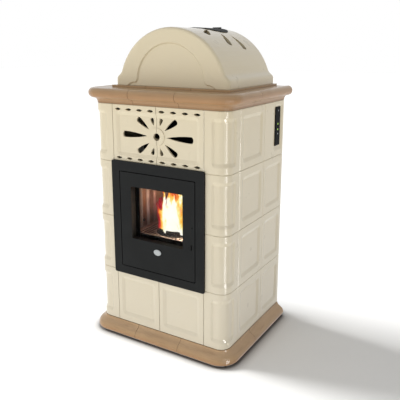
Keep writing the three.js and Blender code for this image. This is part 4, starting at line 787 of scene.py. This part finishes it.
def makeSparks(settings):
    draw = random.Random(settings["seed"])
    shape = bmesh.new()
    for _ in range(settings["count"]):
        spot = [draw.uniform(a, b) for a, b in zip(settings["low"], settings["high"])]
        radius = settings["radius"] * draw.uniform(*settings["sizes"])
        bmesh.ops.create_icosphere(
            shape, subdivisions=1, radius=radius, matrix=Matrix.Translation(spot))
    sparks = meshPiece("fire_sparks", shape, makeGlow("sparkGlow", *settings["glow"]))
    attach(sparks, "casing")
    print("sparks flying:", settings["count"])


makeSparks(sparkSettings)


# Bars behind the door glass, with their posts and screw heads

glassBarSettings = {
    "inner": 0.100, "outer": 0.134, "front": -0.2134, "thick": 0.003, "heights": (0.405, 0.647),
    "bevel": 0.0007, "postX": 0.128, "postHeights": (0.420, 0.526, 0.632),
    "postFront": -0.2396, "postRadius": 0.0042, "headRadius": 0.0046, "headHigh": 0.0024,
    "headFoot": 0.55, "sides": 20,
}


def makeGlassBars(settings):
    back = settings["front"] + settings["thick"]
    low, high = settings["heights"]
    long = settings["front"] - settings["postFront"]
    headRadius, headHigh = settings["headRadius"], settings["headHigh"]
    for side, sign in (("left", -1), ("right", 1)):
        shape = bmesh.new()
        start, end = sorted((sign * settings["inner"], sign * settings["outer"]))
        addBox(shape, (start, settings["front"], low), (end, back, high))
        bar = meshPiece("glass_bar_" + side, shape, finishes["black"], settings["bevel"])
        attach(bar, "door")
        shape = bmesh.new()
        x = sign * settings["postX"]
        for height in settings["postHeights"]:
            addRod(shape, (x, settings["postFront"] + long / 2, height),
                   settings["postRadius"], long, settings["sides"])
            addRod(shape, (x, back + headHigh / 2, height), headRadius * settings["headFoot"],
                   headHigh, settings["sides"], headRadius)
        screws = meshPiece("glass_bar_screws_" + side, shape, finishes["steel"])
        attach(screws, "door")
    print("glass bars and their screws set")


makeGlassBars(glassBarSettings)


# Rope seal on the back of the door, laid on a steel seat

sealSettings = {
    "half": (0.1400, 0.1665), "middle": 0.493, "level": -0.2062, "corner": 0.018,
    "cornerStep": 15, "strand": 0.0030, "twist": 0.0026, "strands": 3, "pitch": 0.021,
    "step": 0.0021, "sides": 6, "seat": (-0.2132, -0.2117), "seatWide": 0.0058,
    "seatBevel": 0.0003,
}


def roundedLoop(settings):
    (halfWide, halfHigh), corner = settings["half"], settings["corner"]
    points = []
    for signX, signZ, start in ((1, 1, 0), (-1, 1, 90), (-1, -1, 180), (1, -1, 270)):
        for turn in range(0, 91, settings["cornerStep"]):
            angle = math.radians(start + turn)
            points.append(Vector((signX * (halfWide - corner) + corner * math.cos(angle),
                                  signZ * (halfHigh - corner) + corner * math.sin(angle))))
    points.append(points[0])
    path = []
    for first, second in zip(points, points[1:]):
        count = max(1, round((second - first).length / settings["step"]))
        path.extend(first.lerp(second, i / count) for i in range(count))
    return path


def makeRope(settings):
    path = roundedLoop(settings)
    count = len(path)
    turns = round(count * settings["step"] / settings["pitch"])
    shape = bmesh.new()
    for strand in range(settings["strands"]):
        rings = []
        for i, spot in enumerate(path):
            along = (path[(i + 1) % count] - path[i - 1]).normalized()
            aside = Vector((along.y, 0, -along.x))
            inwards = Vector((0, 1, 0))
            swing = 2 * math.pi * (turns * i / count + strand / settings["strands"])
            centre = Vector((spot.x, settings["level"], spot.y + settings["middle"]))
            centre += settings["twist"] * (math.cos(swing) * aside + math.sin(swing) * inwards)
            rings.append([
                shape.verts.new(centre + settings["strand"] * (a * aside + b * inwards))
                for a, b in ringPoints(settings["sides"])])
        for lower, upper in zip(rings, rings[1:] + rings[:1]):
            joinRings(shape, lower, upper)
    rope = meshPiece("door_seal", shape, finishes["rope"], smooth=True)
    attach(rope, "door")
    print("door seal laid:", count, "steps,", turns, "turns")


def makeSealSeat(settings):
    shape = bmesh.new()
    wide = settings["seatWide"]
    (halfWide, halfHigh), (front, back) = settings["half"], settings["seat"]
    low, high = settings["middle"] - halfHigh, settings["middle"] + halfHigh
    for sign, level in ((-1, low), (1, high)):
        start, end = sorted((sign * (halfWide - wide), sign * (halfWide + wide)))
        addBox(shape, (start, front, low - wide), (end, back, high + wide))
        addBox(shape, (wide - halfWide, front, level - wide),
               (halfWide - wide, back, level + wide))
    seat = meshPiece("seal_seat", shape, finishes["black"], settings["seatBevel"])
    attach(seat, "door")


makeRope(sealSettings)
makeSealSeat(sealSettings)


# Bolts of the liner

linerBoltSettings = {
    "wall": 0.1407, "spots": ((-0.135, 0.462), (-0.135, 0.640)), "across": 0.0062,
    "high": 0.0042, "sunk": 0.0002, "sides": 6, "bevel": 0.0005,
}


def makeLinerBolts(settings):
    shape = bmesh.new()
    reach = settings["wall"] - settings["high"] / 2 + settings["sunk"]
    for sign in (-1, 1):
        for y, z in settings["spots"]:
            addRod(shape, (sign * reach, y, z), settings["across"], settings["high"],
                   settings["sides"], axis="Y")
    bolts = meshPiece("liner_bolts", shape, finishes["pot"], settings["bevel"])
    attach(bolts, "casing")
    print("liner bolts set")


makeLinerBolts(linerBoltSettings)


# Screws that hold the back panel

backScrewSettings = {
    "face": 0.2285, "aside": 0.250, "heights": (0.075, 0.235, 0.395, 0.555, 0.715, 0.875),
    "across": (-0.125, 0.0, 0.125), "edges": (0.035, 0.915), "radius": 0.0045,
    "high": 0.0026, "crown": 0.35, "sunk": 0.0002, "rings": 4, "sides": 20,
    "hollow": 0.9, "hollowDeep": 0.0014,
}


def addDomeScrew(shape, x, z, settings):
    crown, narrow = settings["crown"], settings["hollow"]
    rings = []
    for row in range(settings["rings"] + 1):
        angle = math.radians(90 * row / settings["rings"])
        radius = settings["radius"] * (crown + (1 - crown) * math.cos(angle))
        y = settings["face"] - settings["sunk"] + settings["high"] * math.sin(angle)
        rings.append([shape.verts.new((x + radius * across, y, z + radius * along))
                      for across, along in ringPoints(settings["sides"])])
    rings.append([shape.verts.new((
        v.co.x * narrow + x * (1 - narrow), v.co.y - settings["hollowDeep"],
        v.co.z * narrow + z * (1 - narrow))) for v in rings[-1]])
    for lower, upper in zip(rings, rings[1:]):
        joinRings(shape, lower, upper)
    shape.faces.new(rings[-1])
    shape.faces.new(rings[0][::-1])


def makeBackScrews(settings):
    spots = [(sign * settings["aside"], height)
             for sign in (-1, 1) for height in settings["heights"]]
    spots += [(x, z) for x in settings["across"] for z in settings["edges"]]
    shape = bmesh.new()
    for x, z in spots:
        addDomeScrew(shape, x, z, settings)
    screws = meshPiece("back_panel_screws", shape, finishes["steel"])
    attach(screws, "casing")
    print("back panel screws set:", len(spots))


makeBackScrews(backScrewSettings)


# Lights of the control panel

panelLightSettings = {
    "heights": (0.845, 0.823), "wide": 0.005, "high": 0.0065, "proud": 0.0006, "sunk": 0.0008,
    "middle": 0.1835, "face": 0.292, "bevel": 0.0005, "glow": ("a4d04c", 0.8, 260),
}


def makePanelLights(settings):
    green = makeGlow("greenLight", *settings["glow"])
    halfWide, halfHigh = settings["wide"] / 2, settings["high"] / 2
    for number, height in enumerate(settings["heights"]):
        shape = bmesh.new()
        addBox(shape, (settings["face"] - settings["sunk"], settings["middle"] - halfWide,
                       height - halfHigh),
               (settings["face"] + settings["proud"], settings["middle"] + halfWide,
                height + halfHigh))
        light = meshPiece(f"panel_light_{number + 1}", shape, green, settings["bevel"])
        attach(light, "casing")
    print("panel lights set")


makePanelLights(panelLightSettings)


# Studio. A lamp whose gloss is False isn't mirrored, and one whose matt is False is only mirrored.

floorSettings = {
    "size": 40, "colour": "f2f2f1", "surface": {"Roughness": 0.85, "Specular IOR Level": 0.1},
    # painted contact shadow: the floor darkens where it meets the stove
    "contactShadow": {"dark": "74716e", "reach": 0.05, "depth": 1, "span": (0.5, 0.97), "samples": 16},
}

ambient = 0.46

sunSettings = {"place": (0, 0, 3), "aim": (0.92, 0.07, 2.38), "strength": 4.4, "spread": 20}

lampSettings = {
    "left": {"place": (-3.6, -2.2, 0.7), "aim": (0, 0, 0.6), "size": (2.4, 2.4),
             "power": 32.5, "gloss": False},
    "front": {"place": (-1.1, -4.3, 1.6), "aim": (0, 0, 0.6), "size": (2.4, 2.4),
              "power": 27.5, "gloss": False},
    "right": {"place": (4.4, -0.8, 0.9), "aim": (0, 0, 0.6), "size": (2.4, 2.4),
              "power": 7.5, "gloss": False, "colour": (1.0, 0.84, 0.62)},
    "strip": {"place": (1.03, -0.60, 0.36), "aim": (0.25, -0.19, 0.36), "size": (0.22, 1.0),
              "power": 10, "matt": False},
    "fire": {"place": (0.035, -0.138, 0.55), "aim": (-0.14, -0.105, 0.52),
             "size": (0.09, 0.16), "power": 2.3, "colour": (1.0, 0.66, 0.42), "beam": 90},
    "ember": {"place": (0.03, -0.165, 0.50), "aim": (0.03, -0.172, 0.43),
              "size": (0.12, 0.02), "power": 0.26, "colour": (1.0, 0.78, 0.58), "beam": 60},
}


def makeWorld(level):
    world = bpy.data.worlds.new("paleStudio")
    bpy.context.scene.world = world
    world.use_nodes = True
    tree = world.node_tree
    back = tree.nodes["Background"]
    rays = addNode(tree, "ShaderNodeLightPath").outputs
    seen = calc(tree, "MAXIMUM", rays["Is Camera Ray"], rays["Is Glossy Ray"])
    seen = calc(tree, "MAXIMUM", seen, rays["Is Transmission Ray"])
    back.inputs["Color"].default_value = (1, 1, 1, 1)
    tree.links.new(stretchRange(tree, seen, level, 1.0), back.inputs["Strength"])


def makeFloor(settings):
    half = settings["size"] / 2
    mesh = bpy.data.meshes.new("studioFloor")
    corners = [(-half, -half, 0), (half, -half, 0), (half, half, 0), (-half, half, 0)]
    mesh.from_pydata(corners, [], [(0, 1, 2, 3)])
    floor = bpy.data.objects.new("studioFloor", mesh)
    bpy.context.scene.collection.objects.link(floor)
    material, tree, surface, place = startMaterial("paleFloor", settings["surface"])
    # painted contact shadow
    tone = paintCreviceShade(tree, settings["colour"], **settings["contactShadow"])
    tree.links.new(tone, surface.inputs["Base Color"])
    mesh.materials.append(material)
    floor.visible_glossy = False      # gloss shows the white backdrop, as in a light tent
    floor.visible_shadow = False
    return floor


def placeLamp(name, light, settings):
    lamp = bpy.data.objects.new(name, light)
    lamp.location = settings["place"]
    aim = Vector(settings["aim"]) - lamp.location
    lamp.rotation_euler = aim.to_track_quat("-Z", "Y").to_euler()
    lamp.visible_camera = False
    lamp.visible_glossy = settings.get("gloss", True)
    lamp.visible_diffuse = settings.get("matt", True)
    bpy.context.scene.collection.objects.link(lamp)
    return lamp


def makeSun(settings, floor):
    light = bpy.data.lights.new("shadowSun", "SUN")
    light.energy = settings["strength"]
    light.angle = math.radians(settings["spread"])
    lamp = placeLamp("shadowSun", light, settings)
    lit = bpy.data.collections.new("litByTheSun")
    lit.objects.link(floor)
    lamp.light_linking.receiver_collection = lit      # the stove is lit by the soft boxes alone


def makeLamp(name, settings):
    light = bpy.data.lights.new(name, "AREA")
    light.shape = "RECTANGLE"
    light.size, light.size_y = settings["size"]
    light.energy = settings["power"]
    light.color = settings.get("colour", (1, 1, 1))
    light.spread = math.radians(settings.get("beam", 180))
    placeLamp(name, light, settings)


makeWorld(ambient)
makeSun(sunSettings, makeFloor(floorSettings))
for lampName, oneLamp in lampSettings.items():
    makeLamp(lampName + "Softbox", oneLamp)
print("studio set")
